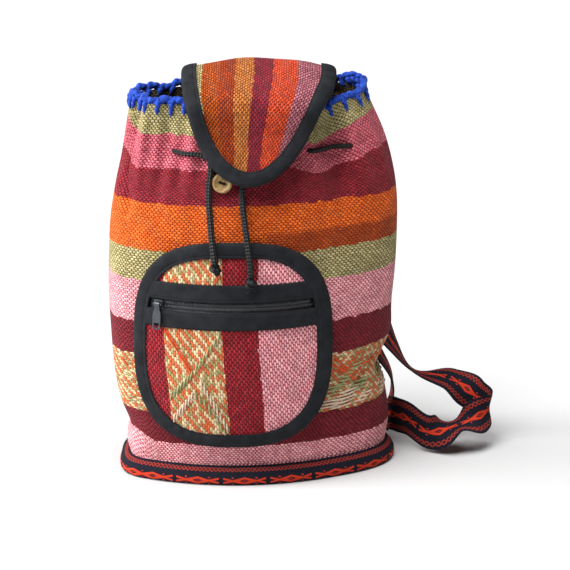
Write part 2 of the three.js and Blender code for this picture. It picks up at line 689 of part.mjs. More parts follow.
function zipSlider() {
  const half = ZIP_SLOT / 2 - SLACK;
  const l = SLIDER_HALF_LENGTH;
  const shield = new THREE.Shape();
  shield.moveTo(-l, -half + 1.2);
  shield.quadraticCurveTo(-l, -half, -l + 1.4, -half);
  shield.lineTo(l - 1, -half + 0.6);
  shield.quadraticCurveTo(l, 0, l - 1, half - 0.6);
  shield.lineTo(-l + 1.4, half);
  shield.quadraticCurveTo(-l, half, -l, half - 1.2);
  const flangeBack = TAPE_FRONT + 0.4;
  const flange = (side) => plate(rectangle(-l + 1.4, side * half, l - 3, side * (COIL_EDGE + SEAT)),
    flangeBack, SLIDER_BACK + 0.2);
  const neck = plate(rectangle(-l + 0.6, SEAT - CHAIN_SLIT, -l + 3.4, CHAIN_SLIT - SEAT),
    TAPE_BACK - 1, SLIDER_BACK + 0.2);
  const backPlate = plate(rectangle(-l, -half + 0.4, l - 1.5, half - 0.4), TAPE_BACK - 1.6, TAPE_BACK - 0.4);
  const post = (side) => plate(rectangle(side * 3.6 - 0.6, -0.9, side * 3.6 + 0.6, 0.9),
    SLIDER_BACK + 0.5, PULL_BAR + PULL_BAR_RADIUS + 0.2);
  const bar = new THREE.CylinderGeometry(PULL_BAR_RADIUS, PULL_BAR_RADIUS, 7.6, 12)
    .rotateZ(Math.PI / 2)
    .translate(0, -PULL_BAR, 0);
  return join(plate(shield, SLIDER_BACK, SLIDER_FRONT), flange(1), flange(-1), neck, backPlate,
    post(-1), post(1), bar);
}

// The pull hangs on the slider's bar, which is this frame's X axis
function zipPull() {
  const knuckle = new THREE.Shape().absarc(0, 0, PULL_BAR_RADIUS + 1.1, 0, 2 * Math.PI);
  knuckle.holes.push(new THREE.Path().absarc(0, 0, PULL_BAR_RADIUS + SEAT, 0, 2 * Math.PI));
  const eye = new THREE.ExtrudeGeometry(knuckle, { depth: 5, bevelEnabled: false, curveSegments: 8 })
    .translate(0, 0, -2.5)
    .rotateY(Math.PI / 2);
  const w = PULL_WIDTH / 2;
  const tab = new THREE.Shape();
  tab.moveTo(-2.5, -1.4);
  tab.lineTo(-2.5, -5);
  tab.quadraticCurveTo(-w, -7, -w, -10);
  tab.lineTo(-w, 1 - PULL_LENGTH);
  tab.lineTo(1 - w, -PULL_LENGTH);
  tab.lineTo(w - 1, -PULL_LENGTH);
  tab.lineTo(w, 1 - PULL_LENGTH);
  tab.lineTo(w, -10);
  tab.quadraticCurveTo(w, -7, 2.5, -5);
  tab.lineTo(2.5, -1.4);
  tab.holes.push(rectangle(1.5 - w, 1.5 - PULL_LENGTH, w - 1.5, 6 - PULL_LENGTH));
  return join(eye, plate(tab, -PULL_PLATE / 2, PULL_PLATE / 2));
}

// Shoulder straps: a ribbon through points with the way that its width points at each

function ribbon(stations) {
  const path = new THREE.CatmullRomCurve3(stations.map(([p]) => p));
  const widths = new THREE.CatmullRomCurve3(stations.map(([, w]) => w.clone().normalize()));
  const section = [[-1, -1], [1, -1], [1, 1], [-1, 1]];
  const rings = range(STRAP_STEPS + 1, (i) => {
    const t = i / STRAP_STEPS;
    const along = path.getTangent(t);
    const width = widths.getPoint(t);
    width.addScaledVector(along, -width.dot(along)).normalize();
    const normal = along.clone().cross(width);
    const p = path.getPoint(t);
    return section.map(([a, b]) => p.clone()
      .addScaledVector(width, (a * STRAP_WIDTH) / 2)
      .addScaledVector(normal, (b * RIBBON) / 2));
  });
  return sweep(rings, flatSection(section));
}

const STRAP_TOP = SEAM_HEIGHT - SEAM_TAPE_HEIGHT - SLACK;
const ON_BACK = SEAT + RIBBON / 2 + 0.4;

// The top of a strap lies flat on the back, just under the seam tape
const strapTop = (x) => [[0, 0.4], [16, 1.4]].map(([down, out]) => {
  const z = STRAP_TOP - down;
  return [bodyBack(x, z, ON_BACK + out), bodyBack(x + 8, z).sub(bodyBack(x - 8, z))];
});

// Its foot is sewn to the back corner above the trim, at a share u of the way round
const strapFoot = (u) => {
  const z = TRIM_HEIGHT + SEAT + STRAP_WIDTH / 2 + 1;
  return [bodyPoint(u, z, ON_BACK + 0.6), vec(0, 0, 1)];
};

// The right strap lies in a loop beside the bag; its points are measured from the bag's right back
function rightStrap() {
  const from = (dx, dy, z) => vec(reach("right", 60) + dx, reach("back", 60) + dy, z);
  return ribbon([
    ...strapTop(STRAP_TOP_X),
    [from(-85, 10, 250), vec(0.95, 0, 0.3)],
    [from(-40, 13, 168), vec(0.85, 0.25, 0.45)],
    [from(-8, 4, 112), vec(0.5, 0.8, 0.35)],
    [from(9, -1, 84), vec(0.28, 0.93, 0.2)],
    [from(31, -6, 59), vec(0.05, 1, 0.1)],
    [from(64, -16, 53), vec(0.12, 0.5, 0.85)],
    [from(85, -28, 50), vec(0.2, 0.1, 0.97)],
    [from(95, -41, 40), vec(0.1, 0, 1)],
    [from(89, -51, 28), vec(0.1, 0.5, 0.85)],
    [from(67, -56, 22), vec(0, 0.95, 0.3)],
    [from(41, -62, 19), vec(-0.1, 0.1, 1)],
    [from(20, -40, 20), vec(0.15, -0.1, 1)],
    [from(8, -19, 28), vec(0.12, -0.2, 1)],
    strapFoot(0.46),
  ]);
}

// The left strap crosses behind the bag, shows at its right edge and lies flat on the floor
function leftStrap() {
  const from = (dx, dy, z) => vec(reach("right", 60) + dx, reach("back", 60) + dy, z);
  const floor = RIBBON / 2 + 0.9;
  return ribbon([
    ...strapTop(-STRAP_TOP_X),
    [from(-130, 17, 256), vec(0.95, 0, 0.3)],
    [from(-86, 27, 188), vec(0.8, 0.2, 0.5)],
    [from(-40, 28, 124), vec(0.5, 0.8, 0.3)],
    [from(-8, 22, 76), vec(0.15, 0.97, 0.1)],
    [from(8, 20, 45), vec(0, 1, 0)],
    [from(4, 21, 18), vec(0, 1, 0)],
    [from(-20, 25, 5), vec(0, 1, 0)],
    [from(-60, 28, floor), vec(0, 1, 0)],
    [from(-120, 30, floor), vec(0, 1, 0)],
    [from(-180, 27, 4), vec(0, 1, 0.1)],
    [from(-215, 19, 17), vec(0, 0.7, 0.7)],
    strapFoot(0.71),
  ]);
}

// Assembly

const finish = (color, roughness, metalness = 0) =>
  new THREE.MeshStandardMaterial({ color, roughness, metalness });
const burgundy = finish(0x7d2535, 0.95);
const pink = finish(0xc86a78, 0.95);
const orange = finish(0xd96a2a, 0.95);
const black = finish(0x24262a, 0.85);
const blue = finish(0x2046b4, 0.9);
const patterned = finish(0x30222a, 0.9);
const tan = finish(0xcdb98c, 0.5);
const metal = finish(0x55565a, 0.35, 0.9);

const backpack = new THREE.Group();

function add(parent, name, geometry, material) {
  const mesh = new THREE.Mesh(geometry, material);
  mesh.name = name;
  parent.add(mesh);
}

const cordHoleTool = cordAlong(drawstringPath, CORD_RADIUS + CORD_HOLE, CORD_SIDES, CORD_STEPS);
add(backpack, "body_cloth", cut(bodyShell(), cordHoleTool), burgundy);
add(backpack, "base_panel", basePanel(), burgundy);
add(backpack, "base_trim", baseTrim(), patterned);
add(backpack, "rim_crochet", rimCrochet(), blue);
add(backpack, "back_seam_tape", seamTape(), black);
add(backpack, "strap_left", leftStrap(), patterned);
add(backpack, "strap_right", rightStrap(), patterned);

const flap = new THREE.Group();
backpack.add(flap);
add(flap, "flap_panel", flapPanel(), orange);
add(flap, "flap_binding", flapBinding(), black);
add(flap, "flap_loop", flapLoop(), black);

// The button's frame: Y out of the cloth, X along its two holes
const buttonFrame = new THREE.Group();
const buttonHeight = RIM_HEIGHT - BUTTON_DROP;
const acrossButton = bodyFront(BUTTON_X + BUTTON_RADIUS, buttonHeight)
  .sub(bodyFront(BUTTON_X - BUTTON_RADIUS, buttonHeight))
  .normalize();
const upButton = bodyFront(BUTTON_X, buttonHeight + BUTTON_RADIUS)
  .sub(bodyFront(BUTTON_X, buttonHeight - BUTTON_RADIUS));
const outOfCloth = acrossButton.clone().cross(upButton).normalize();
buttonFrame.position.copy(bodyFront(BUTTON_X, buttonHeight)).addScaledVector(outOfCloth, BUTTON_SHANK);
buttonFrame.quaternion.setFromRotationMatrix(
  new THREE.Matrix4().makeBasis(acrossButton, outOfCloth, acrossButton.clone().cross(outOfCloth)));
buttonFrame.rotateY(degToRad(BUTTON_TURN));
backpack.add(buttonFrame);
add(buttonFrame, "button", buttonShape(), tan);
add(buttonFrame, "button_thread", buttonThread(), black);

add(backpack, "drawstring", cordAlong(drawstringPath, CORD_RADIUS, CORD_SIDES, CORD_STEPS), black);
add(backpack, "drawstring_knot_left", knot(drawstringPath.getPoint(0)), black);
add(backpack, "drawstring_knot_right", knot(drawstringPath.getPoint(1)), black);

const pocketTop = POCKET_MIDDLE + POCKET_HALF_HEIGHT;
const pocketBottom = POCKET_MIDDLE - POCKET_HALF_HEIGHT;
add(backpack, "pocket_upper_panel", pocketPanel(ZIP_HEIGHT + PANEL_TO_ZIP, pocketTop, 5), pink);
add(backpack, "pocket_lower_panel", pocketPanel(pocketBottom, ZIP_HEIGHT - PANEL_TO_ZIP, 9), pink);
add(backpack, "pocket_binding", pocketBinding(), black);
for (const [side, word] of [[1, "upper"], [-1, "lower"]]) {
  add(backpack, `zip_facing_${word}`, zipFacing(side), black);
  add(backpack, `zip_tape_${word}`, zipTape(side), black);
  add(backpack, `zip_coil_${word}`, zipCoil(side), black);
}
add(backpack, "zip_stop_left", zipStop(-1), metal);
add(backpack, "zip_stop_right", zipStop(1), metal);

// The carriage turns about the upright axis of the chain's arc
const zipCarriage = new THREE.Group();
zipCarriage.position.set(FRONT_X, zipArc.centreY, ZIP_HEIGHT);
zipCarriage.rotation.z = ZIP_ANGLE;
backpack.add(zipCarriage);
const sliderFrame = new THREE.Group();
sliderFrame.position.y = -zipArc.radius;
sliderFrame.rotation.x = -ZIP_TILT;
zipCarriage.add(sliderFrame);
add(sliderFrame, "zip_slider", zipSlider(), metal);
const pullFrame = new THREE.Group();
pullFrame.position.y = -PULL_BAR;
sliderFrame.add(pullFrame);
add(pullFrame, "zip_pull", zipPull(), metal);

export default backpack;
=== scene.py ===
# Woven drawstring backpack, dressed over its CAD frame. Lengths are in millimetres until a mesh is made.
from functools import partialmethod
from math import cos, pi, radians, sin, tau

import bpy
import numpy as np
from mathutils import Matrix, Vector


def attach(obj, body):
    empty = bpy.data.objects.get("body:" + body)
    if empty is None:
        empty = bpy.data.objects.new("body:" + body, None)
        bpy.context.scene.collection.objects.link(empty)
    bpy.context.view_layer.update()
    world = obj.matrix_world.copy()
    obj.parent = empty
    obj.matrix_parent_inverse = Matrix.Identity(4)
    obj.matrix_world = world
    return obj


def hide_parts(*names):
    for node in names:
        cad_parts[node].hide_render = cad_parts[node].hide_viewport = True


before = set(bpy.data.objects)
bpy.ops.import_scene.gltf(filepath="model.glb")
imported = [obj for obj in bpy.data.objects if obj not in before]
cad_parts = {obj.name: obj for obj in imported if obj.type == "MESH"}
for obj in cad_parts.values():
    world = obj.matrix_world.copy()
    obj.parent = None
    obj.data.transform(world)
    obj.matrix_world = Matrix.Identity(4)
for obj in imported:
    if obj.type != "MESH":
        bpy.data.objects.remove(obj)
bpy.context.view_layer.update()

MM = 0.001
SEED = 7
rng = np.random.default_rng(SEED)
scene = bpy.context.scene


def add(name, data):
    """A new object in the scene."""
    made = bpy.data.objects.new(name, data)
    scene.collection.objects.link(made)
    return made


# Camera at the photograph's angle
CAMERA_TARGET = Vector((28.52, 0, 166))
CAMERA_DISTANCE, CAMERA_LENS = 2600, 178.5
CAMERA_RISE = radians(17)

camera = add("camera", bpy.data.cameras.new("camera"))
camera.data.lens = CAMERA_LENS
away = Vector((0, -cos(CAMERA_RISE), sin(CAMERA_RISE)))
camera.location = (CAMERA_TARGET + CAMERA_DISTANCE * away) * MM
camera.rotation_euler = (pi / 2 - CAMERA_RISE, 0, 0)
scene.camera = camera

# Sizes shared with the CAD part
CLOTH = 3.5
SEAT = 0.3
SLACK = 0.8
RIM_HEIGHT = 345
BODY_FOOT = 5.1
FRONT_X = -18
FRONT_RADIUS = 185
FRONT_SHARE = 0.84
SIDE_Y, SIDE_GRIP = 5, 0.38
BACK_FULLNESS = 0.62
LEVELS = {
    "at": [0, 0.1, 0.17, 0.28, 0.43, 0.65, 0.76, 0.88, 1],
    "left": [113, 114, 121, 128, 133, 131, 126, 116, 109],
    "right": [120, 125, 123, 117, 126, 132, 130, 117, 98],
    "front": [72, 80, 82, 82, 80, 74, 67, 55, 46],
    "back": [62, 66, 68, 69, 69, 66, 61, 52, 46],
    "turn": [1, 2, 4, 6, 8, 9, 10, 12, 14],
}
FRONT_STEPS, SIDE_STEPS, BACK_STEPS = 16, 5, 11
GATHERS, GATHER_DEPTH, GATHER_LENGTH = 7, 2.6, 90
PLEAT_AT, PLEAT_WIDTH, PLEAT_DEPTH, PLEAT_LENGTH = 0.957, 0.02, 6, 130
BASE_FLANGE = 8
RIBBON = 2.2
TRIM_HEIGHT = 17
PANEL = 3.2
BINDING_WIDTH, BINDING_LEG, BINDING_FOLD = 13, 1.6, 4
BINDING_HALF = PANEL / 2 + SLACK + BINDING_LEG
PANEL_INSET = BINDING_FOLD + SLACK
FLAP_HALF_WIDTH, FLAP_TIP_LENGTH = 70, 140
FLAP_RISE, FLAP_DROP = 26, 66
FLAP_SEAM_X, FLAP_TIP_X, FLAP_CREST_Y = 5, -3, 8
FLAP_STANDOFF = 13
FLAP_SEAM_BEND, FLAP_TIP_BEND = 1 / 700, 1 / 230
FLAP_ARCH, ARCH_LEVEL = 7, 0.65  # how far the flap bows across at its crest, and the share that is rise
BEND_SPAN, SHIFT_SPAN = (0.5, 0.85), (0.4, 1)  # shares of the flap's length in which it bends and shifts
ARCH_GROWS, ARCH_FADES = (0, 0.3), (0.72, 0.36)
SEAM_HEIGHT = RIM_HEIGHT - 12.5
SEAM_TAPE_HEIGHT, SEAM_TAPE_DEPTH, SEAM_TAPE_HALF = 14, 5, 74
SEAM_OUT = SEAM_TAPE_DEPTH + SEAT - 0.5 * PANEL + 2
CORD_RADIUS = 2.75
CORD_HEIGHT = RIM_HEIGHT - 41
CORD_OUTSIDE = CORD_RADIUS + 0.8
CORD_INSIDE = -(CLOTH + CORD_RADIUS + 0.8)
POCKET_HALF_WIDTH, POCKET_HALF_HEIGHT, POCKET_MIDDLE = 94, 95.5, 134
POCKET_ROUNDNESS, POCKET_BULGE, BULGE_POWER = 2.75, 7, 2.5
POCKET_END = 0.998  # share of the pocket's half height at which its outline stops narrowing
EDGE_LIFT = PANEL + 2 * SLACK + BINDING_LEG
ZIP_HEIGHT, ZIP_SLOT, FACING_HEIGHT, FACING = 172, 9, 16, 1.2
PANEL_TO_ZIP, TAPE, TAPE_EDGE = 10, 0.8, 14
CHAIN_SLIT, COIL_EDGE, COIL_DEPTH, CHAIN_GAP = 0.7, 2.9, 2.1, 5.4
TAPE_FRONT = -(PANEL + SEAT)
COIL_BACK = TAPE_FRONT + SEAT
STRAP_WIDTH, STRAP_TOP_X = 33, 17
STRAP_TOP = SEAM_HEIGHT - SEAM_TAPE_HEIGHT - SLACK
ON_BACK = SEAT + RIBBON / 2 + 0.4


def lerp(a, b, t):
    return a + (b - a) * t


def smoothstep(x, low, high):
    t = np.clip((x - low) / (high - low), 0, 1)
    return t * t * (3 - 2 * t)


def bell(x, middle, width):
    return np.exp(-(((x - middle) / width) ** 2))


def as_floats(*values):
    return np.broadcast_arrays(*(np.asarray(v, float) for v in values))


def points(*columns):
    return np.stack(np.broadcast_arrays(*columns), -1).astype(float)


def unit(v):
    return v / np.linalg.norm(v, axis=-1, keepdims=True)


def running_length(path):
    steps = np.linalg.norm(np.diff(path, axis=0), axis=1)
    return np.concatenate([[0], np.cumsum(steps)])


def spline(route, count):
    """A number of points on the centripetal curve through a route."""
    route = np.asarray(route, float)
    ends = np.vstack([2 * route[0] - route[1], route, 2 * route[-1] - route[-2]])
    place = np.linspace(0, 1, count) * (len(route) - 1)
    i = np.minimum(place.astype(int), len(route) - 2)
    w = (place - i)[:, None]
    a, b, c, d = (ends[i + k] for k in range(4))
    spans = [np.sqrt(np.linalg.norm(q - p, axis=1))[:, None] for p, q in ((a, b), (b, c), (c, d))]
    middle = np.where(spans[1] < 1e-2, 1, spans[1])
    first, last = (np.where(s < 1e-2, middle, s) for s in (spans[0], spans[2]))
    m = ((b - a) / first - (c - a) / (first + middle) + (c - b) / middle) * middle
    n = ((c - b) / middle - (d - b) / (middle + last) + (d - c) / last) * middle
    return b + m * w + (3 * c - 3 * b - 2 * m - n) * w**2 + (2 * b - 2 * c + m + n) * w**3


def even(path, step):
    """The same path with points about a step apart."""
    s = running_length(path)
    at = np.linspace(0, s[-1], max(int(s[-1] / step), 4) + 1)
    return points(*(np.interp(at, s, path[:, k]) for k in range(3)))


# Surfaces: each is its vertices, its four-cornered faces and a place on the cloth for each corner

def surface(grid, cloth, loop=False):
    """Rings of points [station, side] joined up, as a loop or with capped ends."""
    stations, count = grid.shape[:2]
    width = cloth.shape[1]

    def corner(k, i):
        return points((k % stations) * count + i % count, k * width + i).astype(int)

    k = np.arange(stations if loop else stations - 1)[:, None]
    i = np.arange(count)
    wall = np.stack([corner(k, i), corner(k, i + 1), corner(k + 1, i + 1), corner(k + 1, i)], -2)
    quads = [wall.reshape(-1, 4, 2)]
    if not loop:
        j = np.arange(count // 2 - 1)
        for end, turn in ((0, 1), (stations - 1, -1)):
            cap = [corner(end, side) for side in (j, count - 1 - j, count - 2 - j, j + 1)]
            quads.append(np.stack(cap[::turn], -2))
    quads = np.concatenate(quads)
    vertices = grid.reshape(-1, 3)
    a, b, c, d = (vertices[quads[:, n, 0]] for n in range(4))
    if (a * (np.cross(b, c) + np.cross(c, d))).sum() < 0:
        quads = quads[:, ::-1]
    return vertices, quads[..., 0], cloth.reshape(-1, 2)[quads[..., 1]]


def sheet(front, back, cloth):
    """A closed sheet between two faces, each a grid [row, column]."""
    grid = np.concatenate([front, back[:, ::-1]], 1)
    return surface(grid, np.concatenate([cloth, cloth[:, ::-1], cloth[:, :1]], 1))


def sheet_around(front, back, cloth):
    """The same, where the columns go all the way round and the last one repeats the first."""
    grid = np.concatenate([front, back[::-1]])[:, :-1].transpose(1, 0, 2)
    return surface(grid, np.concatenate([cloth, cloth[::-1], cloth[:1]]).transpose(1, 0, 2), loop=True)


def frames(path):
    """Two directions across a path at each of its points, without twist."""
    along = unit(np.gradient(path, axis=0))
    first = np.cross(along[0], (0.3, 0.5, 0.8))
    across = [unit(first)]
    for t in along[1:]:
        across.append(unit(across[-1] - np.dot(across[-1], t) * t))
    across = np.array(across)
    return across, np.cross(along, across)


TUBE_WIDTH = 10  # the way once round a tube, as a place on its cloth


def tube(path, radius, sides=10, loop=False):
    """A round tube along a path. radius is a number or takes (length along, angle); free ends are rounded."""
    s = running_length(path)
    angle = tau * np.arange(sides) / sides
    size = radius(s[:, None], angle) if callable(radius) else np.full((len(path), sides), radius)
    if not loop:
        end = np.minimum(s, s[-1] - s)[:, None] / size.max()
        size = size * np.sqrt(np.clip(1 - (1 - np.minimum(end, 1)) ** 2, 0.01, 1))
    a, b = frames(path)
    ring = np.cos(angle)[:, None] * a[:, None] + np.sin(angle)[:, None] * b[:, None]
    length = np.append(s, s[-1] + np.linalg.norm(path[0] - path[-1])) if loop else s
    cloth = points(length[:, None], np.arange(sides + 1) / sides * TUBE_WIDTH)
    return surface(path[:, None] + ring * size[..., None], cloth, loop)


SHARP_ANGLE = radians(50)


def dress(piece, material, nodes, body):
    """Gives a piece its material and its body, and hides the CAD nodes that it stands for."""
    piece.data.materials.append(material)
    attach(piece, body)
    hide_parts(*nodes)
    return piece


def make(name, parts, material, nodes, body="bag"):
    """One piece of the visual model, from surfaces."""
    offsets = np.cumsum([0] + [len(v) for v, _, _ in parts])
    vertices = np.concatenate([v for v, _, _ in parts]) * MM
    faces = np.concatenate([f + o for (_, f, _), o in zip(parts, offsets)])
    cloth = np.concatenate([c for _, _, c in parts]) * MM
    mesh = bpy.data.meshes.new(name)
    mesh.from_pydata(vertices.tolist(), [], faces.tolist())
    mesh.uv_layers.new(name="cloth").data.foreach_set("uv", cloth.ravel())
    mesh.shade_smooth()
    mesh.set_sharp_from_angle(angle=SHARP_ANGLE)
    return dress(add(name, mesh), material, nodes, body)


# The body's surface, as in the CAD part

def reach(side, z):
    """How far the body goes to a side at a height: a smooth curve through the levels."""
    at, rows = np.array(LEVELS["at"]), np.array(LEVELS[side], float)
    slope = np.gradient(rows, at)
    slope[1:-1] = (rows[2:] - rows[:-2]) / (at[2:] - at[:-2])
    x = np.clip((np.asarray(z, float) - BODY_FOOT) / (RIM_HEIGHT - BODY_FOOT), 0, 1)
    i = np.clip(np.searchsorted(at, x, side="right") - 1, 0, len(at) - 2)
    span = at[i + 1] - at[i]
    t = (x - at[i]) / span
    level = rows[i] * (1 + 2 * t) * (1 - t) ** 2 + rows[i + 1] * t * t * (3 - 2 * t)
    return level + span * (slope[i] * t * (1 - t) ** 2 - slope[i + 1] * t * t * (1 - t))


def bezier(t, a, b, c, d):
    return (1 - t) ** 3 * a + 3 * (1 - t) ** 2 * t * b + 3 * (1 - t) * t**2 * c + t**3 * d


def plain_ring(u, z):
    """x and y on the body at a share u of the way round, before folds: a front arc, two sides, the back."""
    steps = FRONT_STEPS + 2 * (SIDE_STEPS + BACK_STEPS)
    k = (u % 1) * steps
    back, arc_y = reach("back", z), FRONT_RADIUS - reach("front", z)
    angle = np.arcsin(FRONT_SHARE * (FRONT_X + reach("left", z)) / FRONT_RADIUS)
    a = lerp(-angle, angle, k / FRONT_STEPS)
    x, y = FRONT_X + FRONT_RADIUS * np.sin(a), arc_y - FRONT_RADIUS * np.cos(a)
    end_y = arc_y - FRONT_RADIUS * np.cos(angle)
    for way, name in ((1, "right"), (-1, "left")):
        from_front = k - FRONT_STEPS if way > 0 else steps - k
        end_x = FRONT_X + way * FRONT_RADIUS * np.sin(angle)
        side_x, side_y = way * reach(name, z), SIDE_Y + way * reach("turn", z)
        grip = SIDE_GRIP * np.hypot(side_x - end_x, side_y - end_y)
        here = (k > FRONT_STEPS) & (from_front <= SIDE_STEPS + BACK_STEPS)
        t = from_front / SIDE_STEPS
        x = np.where(here, bezier(t, end_x, end_x + way * grip * np.cos(angle), side_x, side_x), x)
        y = np.where(here, bezier(t, end_y, end_y + grip * np.sin(angle), side_y - grip, side_y), y)
        here = here & (from_front > SIDE_STEPS)
        t = (from_front - SIDE_STEPS) / BACK_STEPS
        x = np.where(here, bezier(t, side_x, side_x, BACK_FULLNESS * side_x, 0), x)
        y = np.where(here, bezier(t, side_y, lerp(side_y, back, BACK_FULLNESS), back, back), y)
    return x, y


def gathers(u, z):
    gather = GATHER_DEPTH * smoothstep(z, RIM_HEIGHT - GATHER_LENGTH, RIM_HEIGHT)
    pleat = PLEAT_DEPTH * smoothstep(z, RIM_HEIGHT - PLEAT_LENGTH, RIM_HEIGHT)
    off = u - PLEAT_AT - np.round(u - PLEAT_AT)
    return gather * np.cos(tau * GATHERS * u) - pleat * bell(off, 0, PLEAT_WIDTH)


NEARBY = 0.004  # share of the way round between points that give the cloth's direction
SEARCH_STEPS = 1440


def body_point(u, z, out=0.0):
    u, z, out = as_floats(u, z, out)
    x, y = plain_ring(u, z)
    (x1, y1), (x0, y0) = plain_ring(u + NEARBY, z), plain_ring(u - NEARBY, z)
    size = np.hypot(x1 - x0, y1 - y0)
    move = out + gathers(u, z)
    return points(x + (y1 - y0) / size * move, y - (x1 - x0) / size * move, z)


def share_at(x, z, on_back=False):
    """The share of the way round at which the front or the back of the body reaches x."""
    u = np.arange(SEARCH_STEPS + 1) / SEARCH_STEPS
    ring = body_point(u, z)[:, 0]
    side = (np.diff(ring) < 0) == on_back
    i = np.flatnonzero(side & ((ring[:-1] - x) * (ring[1:] - x) <= 0))[0]
    return lerp(u[i], u[i + 1], (x - ring[i]) / (ring[i + 1] - ring[i]))


def on_body(x, z, out=0.0, on_back=False):
    return body_point(share_at(x, z, on_back), z, out)


# The flap's surface: x across, l along the cloth from the seam, h above the middle of the cloth

def flap_profile():
    rim, crest = RIM_HEIGHT, RIM_HEIGHT + FLAP_RISE
    route = [
        (0, reach("back", SEAM_HEIGHT) + SEAM_OUT, SEAM_HEIGHT + 1.6 * SLACK),
        (0, reach("back", rim) + SEAM_OUT, rim + 7),
        (0, FLAP_CREST_Y + 32, crest - 10),
        (0, FLAP_CREST_Y, crest),
        (0, FLAP_CREST_Y - 34, crest - 7),
        (0, -reach("front", rim) - FLAP_STANDOFF, rim + 6),
    ]
    for share in (0.4, 0.75, 1):
        z = rim - share * FLAP_DROP
        route.append((0, -reach("front", z) - FLAP_STANDOFF, z))
    return spline(route, 1200)


FLAP_LINE = flap_profile()
FLAP_RUN = running_length(FLAP_LINE)
FLAP_LENGTH = FLAP_RUN[-1]
FLAP_ALONG = unit(np.gradient(FLAP_LINE, axis=0))
ROUND_FROM = FLAP_LENGTH - FLAP_TIP_LENGTH


def flap_point(x, l, h):
    t = np.minimum(l / FLAP_LENGTH, 1)
    at = np.minimum(l, FLAP_LENGTH)
    y, z, ay, az = (np.interp(at, FLAP_RUN, line[:, k]) for line in (FLAP_LINE, FLAP_ALONG) for k in (1, 2))
    bend = lerp(FLAP_SEAM_BEND, FLAP_TIP_BEND, smoothstep(t, *BEND_SPAN))
    bow = FLAP_ARCH * (ARCH_LEVEL - (x / FLAP_HALF_WIDTH) ** 2)
    arch = bow * smoothstep(t, *ARCH_GROWS) * smoothstep(t, *ARCH_FADES)
    lift = h + arch - 0.5 * bend * x * x
    beyond = np.maximum(l - FLAP_LENGTH, 0)
    middle = lerp(FLAP_SEAM_X, FLAP_TIP_X, smoothstep(t, *SHIFT_SPAN))
    return points(middle + x, y + ay * beyond + az * lift, z + az * beyond - ay * lift)


# The pocket's surface: s along the curve of the front, h in front of the panel's face

def pocket_half(z, inset=0.0):
    share = np.minimum(np.abs(z - POCKET_MIDDLE) / (POCKET_HALF_HEIGHT - inset), POCKET_END)
    return (POCKET_HALF_WIDTH - inset) * (1 - share**POCKET_ROUNDNESS) ** (1 / POCKET_ROUNDNESS)


def pocket_face(s, z):
    share = np.minimum(np.abs(z - POCKET_MIDDLE) / POCKET_HALF_HEIGHT, POCKET_END)
    bulge = POCKET_BULGE * (1 - share**BULGE_POWER)
    half = FRONT_RADIUS * np.sin(pocket_half(z) / FRONT_RADIUS)
    sagitta = bulge + FRONT_RADIUS - np.sqrt(FRONT_RADIUS**2 - half**2)
    radius = (half**2 + sagitta**2) / (2 * sagitta)
    x = FRONT_RADIUS * np.sin(s / FRONT_RADIUS)
    y = radius - reach("front", z) - EDGE_LIFT - bulge - np.sqrt(radius**2 - x**2)
    return points(FRONT_X + x, y, z)


def pocket_point(s, z, h):
    s, z, h = as_floats(s, z, h)
    across = pocket_face(s + 0.5, z) - pocket_face(s - 0.5, z)
    up = pocket_face(s, z + 0.5) - pocket_face(s, z - 0.5)
    return pocket_face(s, z) + unit(np.cross(across, up)) * h[..., None]


# Materials

def srgb(r, g, b):
    return tuple(c / 3294.6 if c < 10.3 else ((c / 255 + 0.055) / 1.055) ** 2.4 for c in (r, g, b)) + (1,)


class Value:
    """What comes out of a shader node. Its sums, products, comparisons and so on are new nodes."""

    def __init__(self, shader, socket):
        self.shader = shader
        self.socket = socket

    def math(self, operation, *others):
        return self.shader.math(operation, self, *others)

    def __rsub__(self, other):
        return self.shader.math("SUBTRACT", other, self)

    __add__ = partialmethod(math, "ADD")
    __sub__ = partialmethod(math, "SUBTRACT")
    __mul__ = partialmethod(math, "MULTIPLY")
    __truediv__ = partialmethod(math, "DIVIDE")
    __mod__ = partialmethod(math, "FLOORED_MODULO")
    __gt__ = partialmethod(math, "GREATER_THAN")
    __lt__ = partialmethod(math, "LESS_THAN")
    __abs__ = partialmethod(math, "ABSOLUTE")
    floor = partialmethod(math, "FLOOR")
    sine = partialmethod(math, "SINE")
    cosine = partialmethod(math, "COSINE")
    most = partialmethod(math, "MAXIMUM")

    def fit(self, low, high, to_low=0.0, to_high=1.0):
        """The value moved from one range to another, smoothly, and kept inside it."""
        sockets = {"Value": self, "From Min": low, "From Max": high, "To Min": to_low, "To Max": to_high}
        return self.shader.out("MapRange", sockets, interpolation_type="SMOOTHSTEP")[0]


